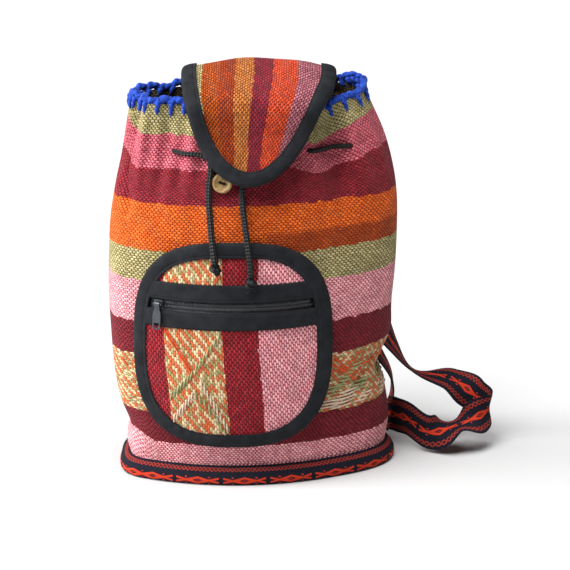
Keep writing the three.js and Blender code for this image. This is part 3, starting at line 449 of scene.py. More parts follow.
class Shader:
    """A node material that is built call by call."""

    def __init__(self, name, **values):
        self.material = bpy.data.materials.new(name)
        self.material.use_nodes = True
        self.tree = self.material.node_tree
        self.principled = self.tree.nodes["Principled BSDF"].inputs
        for key, value in values.items():
            self.put(self.principled[key.replace("_", " ")], value)

    def put(self, socket, value):
        if isinstance(value, Value):
            self.tree.links.new(value.socket, socket)
        else:
            socket.default_value = value

    def node(self, kind, values=(), **settings):
        """A new node. values fill its sockets in their order, or by name or number where they are a dict."""
        made = self.tree.nodes.new("ShaderNode" + kind)
        for key, value in settings.items():
            setattr(made, key, value)
        sockets = values if isinstance(values, dict) else dict(enumerate(values))
        for key, value in sockets.items():
            self.put(made.inputs[key], value)
        return made

    def out(self, kind, values=(), **settings):
        """All that comes out of a new node."""
        return [Value(self, socket) for socket in self.node(kind, values, **settings).outputs]

    def math(self, operation, *values):
        return self.out("Math", values, operation=operation)[0]

    def mix(self, factor, a, b):
        return self.out("Mix", {0: factor, 6: a, 7: b}, data_type="RGBA", blend_type="MIX")[2]

    def split(self, vector):
        return self.out("SeparateXYZ", [vector])

    def cloth(self):
        """The place on the cloth, in millimetres: the vector, and its two parts."""
        uv = self.out("UVMap", uv_map="cloth")[0]
        place = self.out("VectorMath", {0: uv, "Scale": 1 / MM}, operation="SCALE")[0]
        return place, *self.split(place)[:2]

    def spot(self):
        return Value(self, self.node("TexCoord").outputs["Object"])

    def noise(self, vector, scale, detail=2.0, roughness=0.5, part=0):
        """Noise as a value, or as a colour where part is 1."""
        sockets = {"Vector": vector, "Scale": scale, "Detail": detail, "Roughness": roughness}
        return self.out("TexNoise", sockets)[part]

    def steps(self, value, stops):
        """Flat bands of colour: stops are (from where on, colour), the first at 0 and all below 1."""
        ramp = self.node("ValToRGB", [value])
        ramp.color_ramp.interpolation = "CONSTANT"
        elements = ramp.color_ramp.elements
        elements.remove(elements[-1])
        elements[0].position, elements[0].color = stops[0]
        for start, colour in stops[1:]:
            elements.new(start).color = colour
        return Value(self, ramp.outputs[0])

    def finish(self, colour, height, depth):
        """The material, with its colour, and with a height that is raised by up to a depth."""
        self.put(self.principled["Base Color"], colour)
        bump = self.out("Bump", {"Height": height, "Distance": depth * MM, "Strength": 1.0})
        self.put(self.principled["Normal"], bump[0])
        return self.material


def yarns(deep, crown):
    """The two tones of a stripe: darker low between its grains, as painted shade, and paler on their crowns,
    as a painted highlight.
    """
    return srgb(*deep), srgb(*crown)


OLIVE = yarns((104, 92, 40), (198, 184, 134))
ROSE = yarns((152, 38, 60), (224, 118, 130))
PINK = yarns((194, 80, 98), (248, 184, 188))
BURGUNDY = yarns((80, 10, 22), (136, 38, 48))
WINE = yarns((98, 14, 28), (156, 46, 56))
CRIMSON = yarns((100, 8, 18), (164, 44, 52))
ORANGE = yarns((184, 56, 8), (238, 114, 42))
FLAP_ORANGE = yarns((96, 28, 2), (188, 84, 24))
FLAP_RUST = yarns((88, 24, 6), (168, 64, 24))
OCHRE = yarns((124, 56, 16), (200, 122, 60))
PLUM = yarns((88, 12, 30), (142, 42, 54))
VERMILION = yarns((150, 34, 14), (216, 84, 50))
FLAP_PINK = yarns((88, 20, 40), (190, 116, 126))
# A brown painted over the orange stripe on the right as shade.
RIGHT_SHADE_BROWN = srgb(128, 46, 18)
CREAM = srgb(220, 194, 152)
LEAF = srgb(158, 144, 92)
FLAME = srgb(204, 102, 60)
SEAM_SHADE = srgb(84, 34, 58)

GRAIN_HEIGHT, GRAIN_LEAN = 2.1, 0.1
BODY_GRAIN, POCKET_GRAIN = 4.3, 5.2  # length of a grain along the stripes


def wander(s, place, scale, size):
    """A place on the cloth moved about by a slow noise, by up to half the size given."""
    drift = s.noise(place, scale, part=1)
    centred = s.out("VectorMath", (drift, (0.5, 0.5, 0.5)), operation="SUBTRACT")[0]
    return s.out("VectorMath", (centred, (size, size, 0), place), operation="MULTIPLY_ADD")[0]


def weave(name, paint, grain, upright):
    """Weft-faced plain weave: staggered grains, long along the stripes. paint gives the stripes' colour."""
    s = Shader(name, Roughness=0.9, Specular_IOR_Level=0.15, Sheen_Weight=0.04, Sheen_Roughness=0.5)
    moved = wander(s, wander(s, s.cloth()[0], 0.09, 2.4), 0.4, 1.1)
    along, across = s.split(moved)[1::-1] if upright else s.split(moved)[:2]
    rows = across / GRAIN_HEIGHT
    row = rows.floor()
    columns = along / grain + row % 2.0 * 0.5
    column = columns.floor()
    x, y = (v.math("FRACT") - 0.5 for v in (columns, rows))
    y = x * GRAIN_LEAN + y
    bead = (1.0 - (x * x * 3.7 + y * y * 2.4)).most(0.0).math("SQRT")
    cell = s.out("CombineXYZ", (column, row))[0]
    chances = s.out("TexWhiteNoise", {"Vector": cell}, noise_dimensions="2D")[1]
    chance, other, third = s.out("SeparateColor", [chances])[:3]
    pair = abs((column + (row / 2.0).floor()) % 2.0 - (third > 0.9))
    ground = s.mix(chance.fit(0.25, 0.95), CREAM, LEAF)
    figured = s.mix(pair * (other > 0.16), ground, FLAME)
    tooth = (chance - 0.5) * 1.6
    # The paler crown tone is a painted highlight, stronger or weaker at random from grain to grain.
    crown = bead.fit(0.3, 0.95) * other.fit(0.0, 1.0, 0.6, 1.0)
    base = paint(s, moved, across + tooth, crown, figured)
    slub = s.noise(moved, 0.06, 3.0)
    tone = third.fit(0.0, 1.0, 0.9, 1.07) * slub.fit(0.3, 0.7, 0.9, 1.1)
    # Painted shade between the grains and a painted highlight on their crowns, over each grain's random tone.
    shade = tone * bead.fit(0.15, 0.95, 0.48, 1.12)
    colour = s.out("HueSaturation", {"Value": shade, "Color": base})[0]
    twist = ((across * 1.5 + along) * 5.0).sine()
    return s.finish(colour, bead + (twist * 0.05 + s.noise(moved, 3.0) * 0.25), 1.0)


def bands(s, value, crown_highlight, stripes, high):
    """Stripes of (start, two tones), mixed by the painted crown highlight. The first also fills what lies
    below it.
    """
    low = stripes[0][0]
    span = high - low
    place = (value - low) / span
    return s.mix(crown_highlight, *(s.steps(place, [((start - low) / span, tones[k]) for start, tones in stripes])
                          for k in (0, 1)))


def between(value, low, high):
    return (value > low) * (value < high)


FIGURED_BAND = (65, 119)
RUST_BAND, RUST_FROM = (217, 238), 112  # the lower half of the orange stripe, painted browner as shade on the right, from this far round
SEAM_BAND, SEAM_FROM = (16, 25), 60  # where the base seam draws the cloth in, with painted shade in its puckers, from this far round
FRONT_END = 330  # how far round both of them go
RUST_EDGE, RUST_FADE, SEAM_FADE, FRONT_FADE = 6, 38, 50, 80  # over what length each of them fades
RUST_SHARE, SEAM_SHARE = 0.7, 0.8
BODY_STRIPES = [
    (0, PINK), (36, BURGUNDY), (150, PINK), (188, OLIVE), (RUST_BAND[0], ORANGE), (258, WINE), (300, ROSE),
    (329, OLIVE),
]
FIGURED_PART = (-63, -9.5)
POCKET_STRIPES = [(-120, CRIMSON), (21.6, PINK)]
FLAP_STRIPES = [
    (-80, OLIVE), (-51, FLAP_ORANGE), (-35, FLAP_RUST), (-21, OCHRE), (-4, PLUM), (13, VERMILION),
    (35.5, FLAP_PINK),
]


def paint_body(s, place, v, crown_highlight, figured):
    around = s.split(place)[0]
    front = around.fit(FRONT_END, FRONT_END - FRONT_FADE)
    low, high = RUST_BAND
    # Painted shade: the orange stripe's lower half turns browner towards the right.
    right_shade = v.fit(high, high - RUST_EDGE) * around.fit(RUST_FROM, RUST_FROM + RUST_FADE)
    right_shade = right_shade * RUST_SHARE * (v > low) * front
    # Painted shade: short dark upright marks in the puckers above the base seam.
    mark = (around * (tau / BODY_GRAIN)).sine().fit(-0.4, 0.8) * v.fit(*SEAM_BAND[::-1], 0.0, SEAM_SHARE)
    mark = mark * front * around.fit(SEAM_FROM, SEAM_FROM + SEAM_FADE)
    plain = s.mix(right_shade, bands(s, v, crown_highlight, BODY_STRIPES, 400), RIGHT_SHADE_BROWN)
    return s.mix(mark, s.mix(between(v, *FIGURED_BAND), plain, figured), SEAM_SHADE)


def paint_pocket(s, place, v, crown_highlight, figured):
    return s.mix(between(v, *FIGURED_PART), bands(s, v, crown_highlight, POCKET_STRIPES, 120), figured)


def paint_flap(s, place, v, crown_highlight, figured):
    return bands(s, v, crown_highlight, FLAP_STRIPES, 80)


def twill(name, dark, light, stitch=None):
    """Plain black cloth: fine slanting ribs, creases and, at a given place across, a row of stitches."""
    s = Shader(name, Roughness=0.85, Specular_IOR_Level=0.15)
    flat, along, across = s.cloth()
    rib = ((along + across) * (tau / 0.9)).sine()
    crease = s.noise(flat, 0.06, 4.0, 0.6)
    lint = s.noise(flat, 1.4, 3.0, 0.7)
    colour = s.mix((crease * 0.6 + lint * 0.4).fit(0.3, 0.72), dark, light)
    height = rib * 0.06 + crease * 1.6
    if stitch:
        off = abs(across - stitch)
        thread = (off < 0.45) * (along % 3.4 > 0.8)
        colour = s.mix(thread * 0.5, colour, srgb(46, 48, 52))
        height = height + thread * 0.5 - off.fit(1.6, 0.2) * 0.7
    return s.finish(colour, height, 0.5)


RIBBON_THREAD = 0.55
DIAMOND_LENGTH, DIAMOND_HEIGHT, DIAMOND_LINE = 21.5, 2.7, 1.0
ZIGZAG_PLACE, ZIGZAG_LENGTH, ZIGZAG_HEIGHT = 11.6, 3.8, 2.2


def ribbon_cloth(name):
    """Narrow woven ribbon: a row of diamonds in the middle and a small zigzag near each edge."""
    s = Shader(name, Roughness=0.85, Specular_IOR_Level=0.15)
    flat, along, across = s.cloth()
    x = along.math("SNAP", RIBBON_THREAD)
    y = abs(across.math("SNAP", RIBBON_THREAD))

    def rising(period, height):
        """Height of a zigzag's upper line above its middle; the lower line mirrors it."""
        return x.math("PINGPONG", period / 2) * (2 * height / period)

    half = DIAMOND_LENGTH / 2
    rise = rising(DIAMOND_LENGTH, DIAMOND_HEIGHT)
    odd = (x / DIAMOND_LENGTH).floor() % 2.0
    middle = half - x.math("PINGPONG", half)
    centre = middle * 0.42 + y
    solid = (y < rise + DIAMOND_LINE) * (1.0 - (centre < 1.7)).most(centre < 0.6)
    outlined = (abs(y - rise) < DIAMOND_LINE) * (1.0 - (middle < 1.8))
    dot = (half - middle < 0.9) * (abs(y - 3.0) < 0.5)
    diamonds = s.mix(odd, solid, outlined).most(dot)
    row = abs(y - ZIGZAG_PLACE)
    zigzag = (abs(row - rising(ZIGZAG_LENGTH, ZIGZAG_HEIGHT)) < 0.8) * (row < 2.6)
    ground = s.mix(s.noise(flat, 0.5, 3.0), srgb(10, 10, 16), srgb(32, 33, 48))
    wear = s.noise(flat, 0.9)
    red = s.mix(wear, srgb(184, 42, 24), srgb(218, 68, 38))
    dull = s.mix(wear, srgb(112, 34, 32), srgb(186, 64, 46))
    colour = s.mix(zigzag, s.mix(diamonds, ground, red), dull)
    ribs = (along * (pi / RIBBON_THREAD)).sine()
    return s.finish(colour, ribs * 0.3 + diamonds.most(zigzag) * 0.8, 0.4)


def strand(name, dark, light):
    """Twisted yarn: colour from deep to light with the fibres."""
    s = Shader(name, Roughness=0.85, Specular_IOR_Level=0.2, Sheen_Weight=0.15, Sheen_Roughness=0.4)
    flat, along, across = s.cloth()
    slant = s.out("CombineXYZ", (across * 0.7 + along, across * 0.2))[0]
    hair = s.noise(slant, 1.6, 3.0)
    soft = s.noise(flat, 0.35, 3.0)
    return s.finish(s.mix((soft + hair).fit(0.7, 1.3), dark, light), hair, 0.7)


BRAID_LENGTH, BRAID_STRANDS = 6, 4  # one full turn of a strand, and strands wound each way


def braided(name, dark, light):
    """Round braid: the strands' crowns are lighter than the gaps between them, a painted highlight on the
    crowns and painted shade in the gaps.
    """
    s = Shader(name, Roughness=0.5, Specular_IOR_Level=0.3)
    flat, along, across = s.cloth()
    turn = across * (BRAID_STRANDS * tau / TUBE_WIDTH)
    lean = along * (tau / BRAID_LENGTH)
    crown = (turn + lean).cosine() * (turn - lean).cosine()
    fibre = s.noise(flat, 2.2, 3.0)
    return s.finish(s.mix((fibre * 0.8 + crown).fit(0.0, 1.5), dark, light), fibre * 0.3 + crown, 0.25)


def wood(name):
    """Pale wood with long grain and darker blotches."""
    s = Shader(name, Roughness=0.5, Specular_IOR_Level=0.4)
    spot = s.spot()
    stretched = s.out("VectorMath", (spot, (420, 900, 120)), operation="MULTIPLY")[0]
    grain = s.noise(stretched, 1.0, 5.0, 0.6)
    pale = s.mix(grain.fit(0.35, 0.68), srgb(146, 112, 68), srgb(198, 170, 118))
    blotch = s.noise(spot, 260.0).fit(0.35, 0.8, 0.0, 0.35)
    return s.finish(s.mix(blotch, pale, srgb(130, 94, 52)), grain, 0.12)


def plating(name, dark, light):
    """Dark plated metal, rougher and lighter where it is worn."""
    s = Shader(name, Metallic=1.0, Roughness=0.34)
    wear = s.noise(s.spot(), 900.0, 4.0, 0.7)
    s.put(s.principled["Roughness"], wear.fit(0.3, 0.8, 0.28, 0.4))
    return s.finish(s.mix(wear.fit(0.4, 0.85), dark, light), wear, 0.01)


def nylon(name, dark, light):
    s = Shader(name, Roughness=0.45, Specular_IOR_Level=0.5)
    dust = s.noise(s.cloth()[0], 1.2, 3.0)
    return s.finish(s.mix(dust.fit(0.4, 0.8), dark, light), dust, 0.05)


BODY_WEAVE = weave("body_weave", paint_body, BODY_GRAIN, upright=False)
POCKET_WEAVE = weave("pocket_weave", paint_pocket, POCKET_GRAIN, upright=True)
FLAP_WEAVE = weave("flap_weave", paint_flap, BODY_GRAIN, upright=True)
BLACK = srgb(20, 21, 24), srgb(40, 42, 46)
BINDING = twill("binding_cloth", *BLACK, stitch=11.6)
FACING_CLOTH = twill("facing_cloth", *BLACK, stitch=1.8)
TAPE_CLOTH = twill("tape_cloth", srgb(92, 94, 98), srgb(126, 128, 132))
RIBBON_CLOTH = ribbon_cloth("ribbon")
YARN = strand("blue_yarn", srgb(8, 22, 96), srgb(44, 92, 214))
# The braid's light tone is the painted highlight on its strands' crowns.
BRAID = braided("black_braid", srgb(2, 2, 3), srgb(26, 27, 29))
FLOAT_YARNS = {
    "flame": strand("flame_yarn", srgb(196, 62, 18), srgb(240, 96, 34)),
    "leaf": strand("leaf_yarn", srgb(126, 130, 82), srgb(178, 180, 130)),
    "cream": strand("cream_yarn", srgb(190, 164, 138), srgb(236, 216, 196)),
}
WOOD = wood("button_wood")
PLATING = plating("gunmetal", srgb(84, 88, 92), srgb(130, 134, 140))
# The stops' plating, painted darker than the slider's as shade in the ends of the zip's slot.
SHADED_PLATING = plating("shaded_plating", srgb(34, 36, 38), srgb(54, 56, 60))
NYLON = nylon("coil_nylon", srgb(64, 66, 70), srgb(116, 118, 122))

# Folds of the body's cloth beyond those of the CAD part

CORD_HOLES = [share_at(-72, CORD_HEIGHT)]  # where round the body the cord passes through the cloth
CORD_HOLES += [share_at(x, CORD_HEIGHT, True) - 1 for x in (-82, -50, 50, 82)]
CORD_HOLES += [share_at(x, CORD_HEIGHT) - 1 for x in (88, 52, 24)]
REFERENCE_HEIGHT = 200  # the ring whose length the cloth's width is measured on
CREASES = [  # start and end as (x, z) on the front, width to the left and right, depth (inwards below zero)
    ((58, 336), (66, 272), 14, 9, -7.5),
    ((75, 334), (86, 264), 7, 16, 4.0),
    ((60, 292), (70, 254), 12, 8, -2.0),
    ((-103, 340), (-113, 250), 10, 3.5, -8.0),
    ((-95, 338), (-104, 256), 5, 9, 3.0),
    ((-78, 322), (-70, 284), 7, 7, -2.0),
    ((-46, 318), (-54, 282), 8, 8, -1.8),
    ((104, 104), (82, 84), 8, 8, -3.2),
    ((100, 128), (70, 118), 12, 12, 1.8),
    ((96, 60), (60, 52), 12, 12, -1.6),
    ((-100, 92), (-84, 58), 12, 12, -1.8),
]
CREASE_BEYOND, CREASE_WITHIN = 16, 10  # a crease grows from this far beyond its ends to this far within
SIDE_BULGES = [  # share of the way round, height, reach round and up, how far out
    (0.43, 122, 30, 18, 6.0),
    (0.43, 90, 24, 8, -4.5),
    (0.9, 27, 45, 9, 6.0),
    (0.92, 50, 40, 13, -5.0),
]
DIMPLE_DEPTH, DIMPLE_SIZE = 2.6, 7
PUCKERS, PUCKER_DEPTH, PUCKER_REACH = 29, 1.6, 34  # small gathers that the cord draws, and how far up they go
WAVE_DEPTH, WAVE_FROM, WAVE_FULL = 0.55, 18, 60  # slow waves of the cloth, from one height to full at another
BODY_COLUMNS, BODY_ROWS = 352, 126
BODY_SHARES = np.arange(BODY_COLUMNS + 1) / BODY_COLUMNS
BODY_RUN = running_length(body_point(BODY_SHARES, REFERENCE_HEIGHT))  # length round the cloth at each share
CREASE_SHARES = [(share_at(*start), share_at(*end)) for start, end, *_ in CREASES]


def body_creases(u, z):
    """How far creases, bulges, cord dimples, puckers and waves move the cloth."""
    total = BODY_RUN[-1]
    s = np.interp(u % 1, BODY_SHARES, BODY_RUN)
    move = np.zeros(np.broadcast_shapes(np.shape(u), np.shape(z)))

    def offset(share):
        away_from = s - share % 1 * total
        return away_from - total * np.round(away_from / total)

    for ((_, z0), (_, z1), left, right, depth), (a, b) in zip(CREASES, CREASE_SHARES):
        side = offset(lerp(a, a + (b - a + 0.5) % 1 - 0.5, np.clip((z - z0) / (z1 - z0), 0, 1)))
        low, high = sorted((z0, z1))
        ends = smoothstep(z, low - CREASE_BEYOND, low + CREASE_WITHIN)
        ends = ends * smoothstep(z, high + CREASE_BEYOND, high - CREASE_WITHIN)
        move += depth * bell(side, 0, np.where(side < 0, left, right)) * ends
    for share, level, reach_round, reach_up, out in SIDE_BULGES:
        move += out * bell(offset(share), 0, reach_round) * bell(z, level, reach_up)
    for hole in CORD_HOLES:
        move -= DIMPLE_DEPTH * bell(offset(hole), 0, DIMPLE_SIZE) * bell(z, CORD_HEIGHT, DIMPLE_SIZE)
    puckers = np.cos(tau * PUCKERS * u + 1.6 * np.sin(3 * tau * u)) * (0.6 + 0.4 * np.sin(5 * tau * u))
    waves = np.cos(tau * (5 * u + z / 210)) + np.cos(tau * (9 * u - z / 150) + 1)
    move += PUCKER_DEPTH * bell(z, CORD_HEIGHT, PUCKER_REACH) * puckers
    return move + WAVE_DEPTH * smoothstep(z, WAVE_FROM, WAVE_FULL) * waves


RIM_BACK_RISE, RIM_FRONT_DROP = 10, 7  # how far the rim's right corner tilts towards the front
RIM_BACK_X, RIM_FRONT_X = (90, 12), (60, 18)  # the middle and the spread of each
RIM_BACK_Y, RIM_FRONT_Y = (-5, 20), (0, -18)  # from where on each begins, and where it is full
RIM_TILT_HEIGHT = 55


def rim_tilt(at):
    """How far the gathers lift points near the rim."""
    x, y, z = np.moveaxis(at, -1, 0)
    back = RIM_BACK_RISE * bell(x, *RIM_BACK_X) * smoothstep(y, *RIM_BACK_Y)
    front = RIM_FRONT_DROP * bell(x, *RIM_FRONT_X) * smoothstep(y, *RIM_FRONT_Y)
    return (back - front) * smoothstep(z, RIM_HEIGHT - RIM_TILT_HEIGHT, RIM_HEIGHT)


def on_cloth(x, z, h):
    """Points along a line on the front of the creased cloth, h above it. x runs evenly from end to end."""
    u = np.linspace(share_at(x[0], z[0]), share_at(x[-1], z[-1]), len(x))
    return body_point(u, z, body_creases(u, z) + h)


# Drawstring: through the cloth round the top, then a free end at each side with a knot

LEFT_END = [  # x, depth below the holes, distance out from the body
    (-45, 0.4, 3.6), (-37.6, 4, 3.6), (-36.6, 12, 3.8), (-38, 24, 4.2), (-38.4, 38, 4.8), (-37.4, 50, 7.2),
    (-36.2, 60, 10.2), (-35, 70, 13.4), (-33.4, 81, 16.8), (-31.8, 92, 18.4),
]
RIGHT_END = [
    (9, 2, 3.6), (-1, 8.5, 3.4), (-7, 19, 3.2), (-9.8, 33, 4), (-9, 46, 6.4), (-7.6, 58, 9.6),
    (-6.2, 69, 13), (-4.8, 81, 16.2), (-3.6, 92, 18), (-2.8, 104, 18.8),
]
CORD_CROSSING = 0.0125  # share of the way round in which the cord passes through the cloth
THREADED_FROM, THREADED_TO = -60, 17  # x of the threaded part's ends
THREADED_SHARE = 0.78  # the cord is pulled thinner where it passes through the cloth
SLACK_FROM, SLACK_FULL = 20, 38  # where along a free end it swells again


def drawstring_path():
    u = np.linspace(share_at(THREADED_FROM, CORD_HEIGHT), share_at(THREADED_TO, CORD_HEIGHT) - 1, 47)
    inside = 0
    for k, hole in enumerate(CORD_HOLES):
        inside = inside + (-1) ** k * smoothstep(hole - u, -CORD_CROSSING, CORD_CROSSING)
    creases = body_creases(u, np.full_like(u, CORD_HEIGHT))
    threaded = body_point(u, CORD_HEIGHT, creases + lerp(CORD_OUTSIDE, CORD_INSIDE, inside))
    left, right = (np.array([on_body(x, CORD_HEIGHT - down, out) for x, down, out in end])
                   for end in (LEFT_END, RIGHT_END))
    return even(spline(np.vstack([left[::-1], threaded, right]), 3000), 0.5)


def braid(share=1.0, stretch=1.0):
    """Radius of a round braid, of a share of the cord's size: crossing strands stand out of it."""
    def radius(s, angle):
        lean = tau * stretch * s / BRAID_LENGTH
        turn = BRAID_STRANDS * angle
        return share * (CORD_RADIUS * (1.02 + 0.1 * np.cos(turn + lean) * np.cos(turn - lean)))
    return radius


def slackening(s, angle):
    """Radius of a free end, which swells to its full size once it hangs."""
    return braid()(s, angle) * lerp(THREADED_SHARE, 1, smoothstep(s, SLACK_FROM, SLACK_FULL))


cord_path = drawstring_path()
first, last = (np.argmin(np.linalg.norm(cord_path - body_point(CORD_HOLES[k], CORD_HEIGHT), axis=1))
               for k in (0, -1))
left_path, right_path = cord_path[:first + 4][::-1], cord_path[last - 3:]
threaded = tube(cord_path[first:last + 1], braid(THREADED_SHARE), 32)
make("braid_threaded", [threaded], BRAID, ["drawstring"])


KNOT_WIND, KNOT_RADIUS, KNOT_LENGTH = 2.7 * pi, 3, 5
KNOT_SHARE = 0.86  # the cord's size in a knot
FRAY_STRANDS, FRAY_LENGTH, FRAY_RADIUS = 9, 3, 0.32
LEFT_TAIL = np.array([[1.6, -1.2, -6.8], [3.2, -1.8, -8.6]])
RIGHT_TAIL = np.array([[-0.6, -0.8, -7], [-1.4, -1.2, -9]])


def knot(top, turn, tail):
    """An overhand knot: the cord wound once round itself, with a cut tail to one side below."""
    a = np.linspace(0, 1, 60)[:, None]
    wind = KNOT_WIND * a + turn
    loop = np.hstack([KNOT_RADIUS * np.cos(wind), KNOT_RADIUS * np.sin(wind), -1 - KNOT_LENGTH * a])
    start = np.array([[0, 0, 1.5], [0.6, 0, 0.2]])
    path = even(spline(np.vstack([start, loop[4:-4:6], tail]), 200), 0.4) + top
    return tube(path, braid(KNOT_SHARE), 24)


def frayed(top):
    """Loose ends of the strands below a knot, fanned out."""
    parts = []
    for _ in range(FRAY_STRANDS):
        lean = np.array([2.2 * (rng.random() - 0.5), 1.6 * (rng.random() - 0.5), -1])
        length = FRAY_LENGTH * (0.7 + 0.5 * rng.random())
        route = [top, top + 0.5 * length * lean * (0.5, 0.5, 1), top + length * lean]
        parts.append(tube(even(spline(route, 40), 0.4), FRAY_RADIUS, 8))
    return parts


for side, path, turn, tail, fray in (
    ("left", left_path, 0.4, LEFT_TAIL, []),
    ("right", right_path, 2.2, RIGHT_TAIL, frayed(right_path[-1] + RIGHT_TAIL[1])),
):
    strands = [knot(path[-1], turn, tail)] + fray
    tied = make(f"knot_{side}", strands, BRAID, [f"drawstring_knot_{side}"])
    end = make(f"braid_end_{side}", [tube(path, slackening, 32)], BRAID, ["drawstring"])
    path[0] * MM
    (path[::4] * MM).tolist()

# Body: a gathered shell of woven cloth

LEFT_SAG, RIGHT_SAG, CORNER_RISE = 11, 17, 10  # how far stripes drop at the top, or rise at the lower left
SAG_SHARE, SAG_WIDTH = 0.296, 42  # where round the body the right sag is, and how far it spreads
SAG_INNER_X, SAG_OUTER_X, SAG_Y = (-5, -45), (-116, -106), (30, 10)  # where the left sag begins and is full
SAG_Z, CORNER_X, CORNER_Z = (262, 288), (-86, -112), (72, 44)


def woven_body():
    u = BODY_SHARES
    z = np.linspace(BODY_FOOT, RIM_HEIGHT, BODY_ROWS)[:, None]
    creases = body_creases(u, z)
    outside, inside = body_point(u, z, creases), body_point(u, z, creases - CLOTH)
    x, y = outside[..., 0], outside[..., 1]
    tilt = rim_tilt(outside)
    outside[..., 2] += tilt
    inside[..., 2] += tilt
    left = smoothstep(x, *SAG_INNER_X) * smoothstep(x, *SAG_OUTER_X) * smoothstep(y, *SAG_Y)
    right = bell(BODY_RUN, SAG_SHARE * BODY_RUN[-1], SAG_WIDTH)
    drop = (LEFT_SAG * left + RIGHT_SAG * right) * smoothstep(z, *SAG_Z)
    rise = CORNER_RISE * smoothstep(x, *CORNER_X) * smoothstep(z, *CORNER_Z)
    return sheet_around(outside, inside, points(BODY_RUN, z + drop - rise))


make("woven_body", [woven_body()], BODY_WEAVE, ["body_cloth"])

# Float threads: long stitches that lie on top of the patterned cloth

FLOAT_RADIUS, FLOAT_DIP, FLOAT_LIFT = 0.74, -0.8, 0.75
FLOAT_SCATTER = 0.5


def float_row(place, start, end, stitch, count, radius=FLOAT_RADIUS):
    """Threads side by side along a line, each as long as the stitch, dipping into the cloth at both ends."""
    threads = []
    s = np.linspace(0, 1, 25)
    lift = lerp(FLOAT_DIP, FLOAT_LIFT, np.sin(pi * s) ** 0.4)
    half = np.array(stitch) / 2
    for t in (np.arange(count) + 0.5) / count:
        middle = lerp(np.array(start), np.array(end), t) + FLOAT_SCATTER * (rng.random(2) - 0.5)
        first, last = middle - half, middle + half
        a, b = (lerp(first[k], last[k], s) for k in (0, 1))
        threads.append(tube(place(a, b, lift), radius, 8))
    return threads


def lay_floats(what, place, floats, node):
    for tone, rows in floats.items():
        threads = [thread for row in rows for thread in float_row(place, *row)]
        make(f"floats_{what}_{tone}", threads, FLOAT_YARNS[tone], [node])


BODY_FLOATS = {  # rows from (x, z) to (x, z), the stitch, how many, and a radius where it isn't the usual one
    "flame": [
        ((73, 109), (96, 87), (12, -11), 2, 0.9), ((75, 113), (98, 91), (12, -11), 2, 0.7),
        ((-120, 113), (-109, 100), (5, -6), 2, 0.8),
    ],
    "leaf": [((74, 84), (96, 106), (9, 1.2), 7), ((-114, 72), (-104, 92), (6, 1), 6)],
    "cream": [((78, 66), (88, 83), (20, 2.5), 5), ((-110, 67), (-100, 79), (9, 1), 4)],
}
lay_floats("body", on_cloth, BODY_FLOATS, "body_cloth")

BASE_DISH, BASE_THICKNESS, BASE_STRIPE = 1.2, 2.2, 330


def woven_base():
    u = np.arange(97) / 96
    r = np.linspace(0.02, 1, 14)[:, None]
    edge = body_point(u, BODY_FOOT, BASE_FLANGE - 0.5)
    dish = BASE_DISH * (1 - r**2)
    top = points(edge[..., 0] * r, edge[..., 1] * r, BODY_FOOT - 2 * SEAT - dish)
    return sheet_around(top, top - (0, 0, BASE_THICKNESS), top[..., :2] + (0, BASE_STRIPE))


make("woven_base", [woven_base()], BODY_WEAVE, ["base_panel"])

TRIM_OUTER = [
    (0.3, 17.2), (3.6, 15.4), (7.2, 11.8), (10.2, 7.6), (10.9, 4.2), (10.0, 1.2), (7.6, 0.15), (-7, 0.05),
]
TRIM_INNER = [(-7, 1.4), (6.5, 1.6), (8.4, 4.2), (5.6, 10.6), (0.4, 15.6)]
TRIM_COLUMNS, TRIM_POINTS, TRIM_BULGE = 400, 44, 10.0


def ribbon_trim():
    """The ribbon folded over the base seam: its section is (distance out from the body, height)."""
    outer = spline(TRIM_OUTER, TRIM_POINTS)
    out, height = np.vstack([outer, spline(TRIM_INNER, TRIM_POINTS)]).T
    u = np.arange(TRIM_COLUMNS + 1) / TRIM_COLUMNS
    grid = body_point(u[:-1, None], np.maximum(height, BODY_FOOT), out)
    grid[..., 2] = height
    down = running_length(outer)
    down = np.concatenate([down, down[::-1], [0]]) - STRAP_WIDTH / 2
    run = running_length(body_point(u, BODY_FOOT, TRIM_BULGE))
    return surface(grid, points(run[:, None], down), loop=True)


make("ribbon_trim", [ribbon_trim()], RIBBON_CLOTH, ["base_trim"])

# Crochet edging: a rope of yarn that arches from stitch to stitch along the rim, with legs down the cloth

STITCHES, ROPE_POINTS = 40, 1680
ROPE_RADIUS, ROPE_RISE, ROPE_LEAN = 3.6, 1.2, 1.2
ARCH_LEAST, ARCH_MORE = 0.8, 3.4  # how far the rope arches at least, and how much more at most
LEG_RADIUS, LEG_TOP, LEG_OUT, LEG_BOW = 3.2, 2.2, 1.2, 0.5
LEG_TAPER = 0.05  # share of a leg's radius lost with each millimetre
LEG_SLANT = 0.008  # share of the way round by which legs can lean
OUTER_LEG, INNER_LEG = (8, 3), (6, 2)  # how long at least, and how much longer at most
YARN_TWIST = 7


def yarn(radius, taper=0.0):
    return lambda s, angle: radius * (1 - taper * s) * (0.9 + 0.13 * np.cos(2 * angle + tau * s / YARN_TWIST))


def on_rim(u, rise, out):
    """A point by the rim, above it or down the outside or inside of the cloth."""
    at = body_point(u, RIM_HEIGHT + np.minimum(rise, 0), out)
    at[..., 2] = RIM_HEIGHT + rise
    at[..., 2] += rim_tilt(at)
    return at


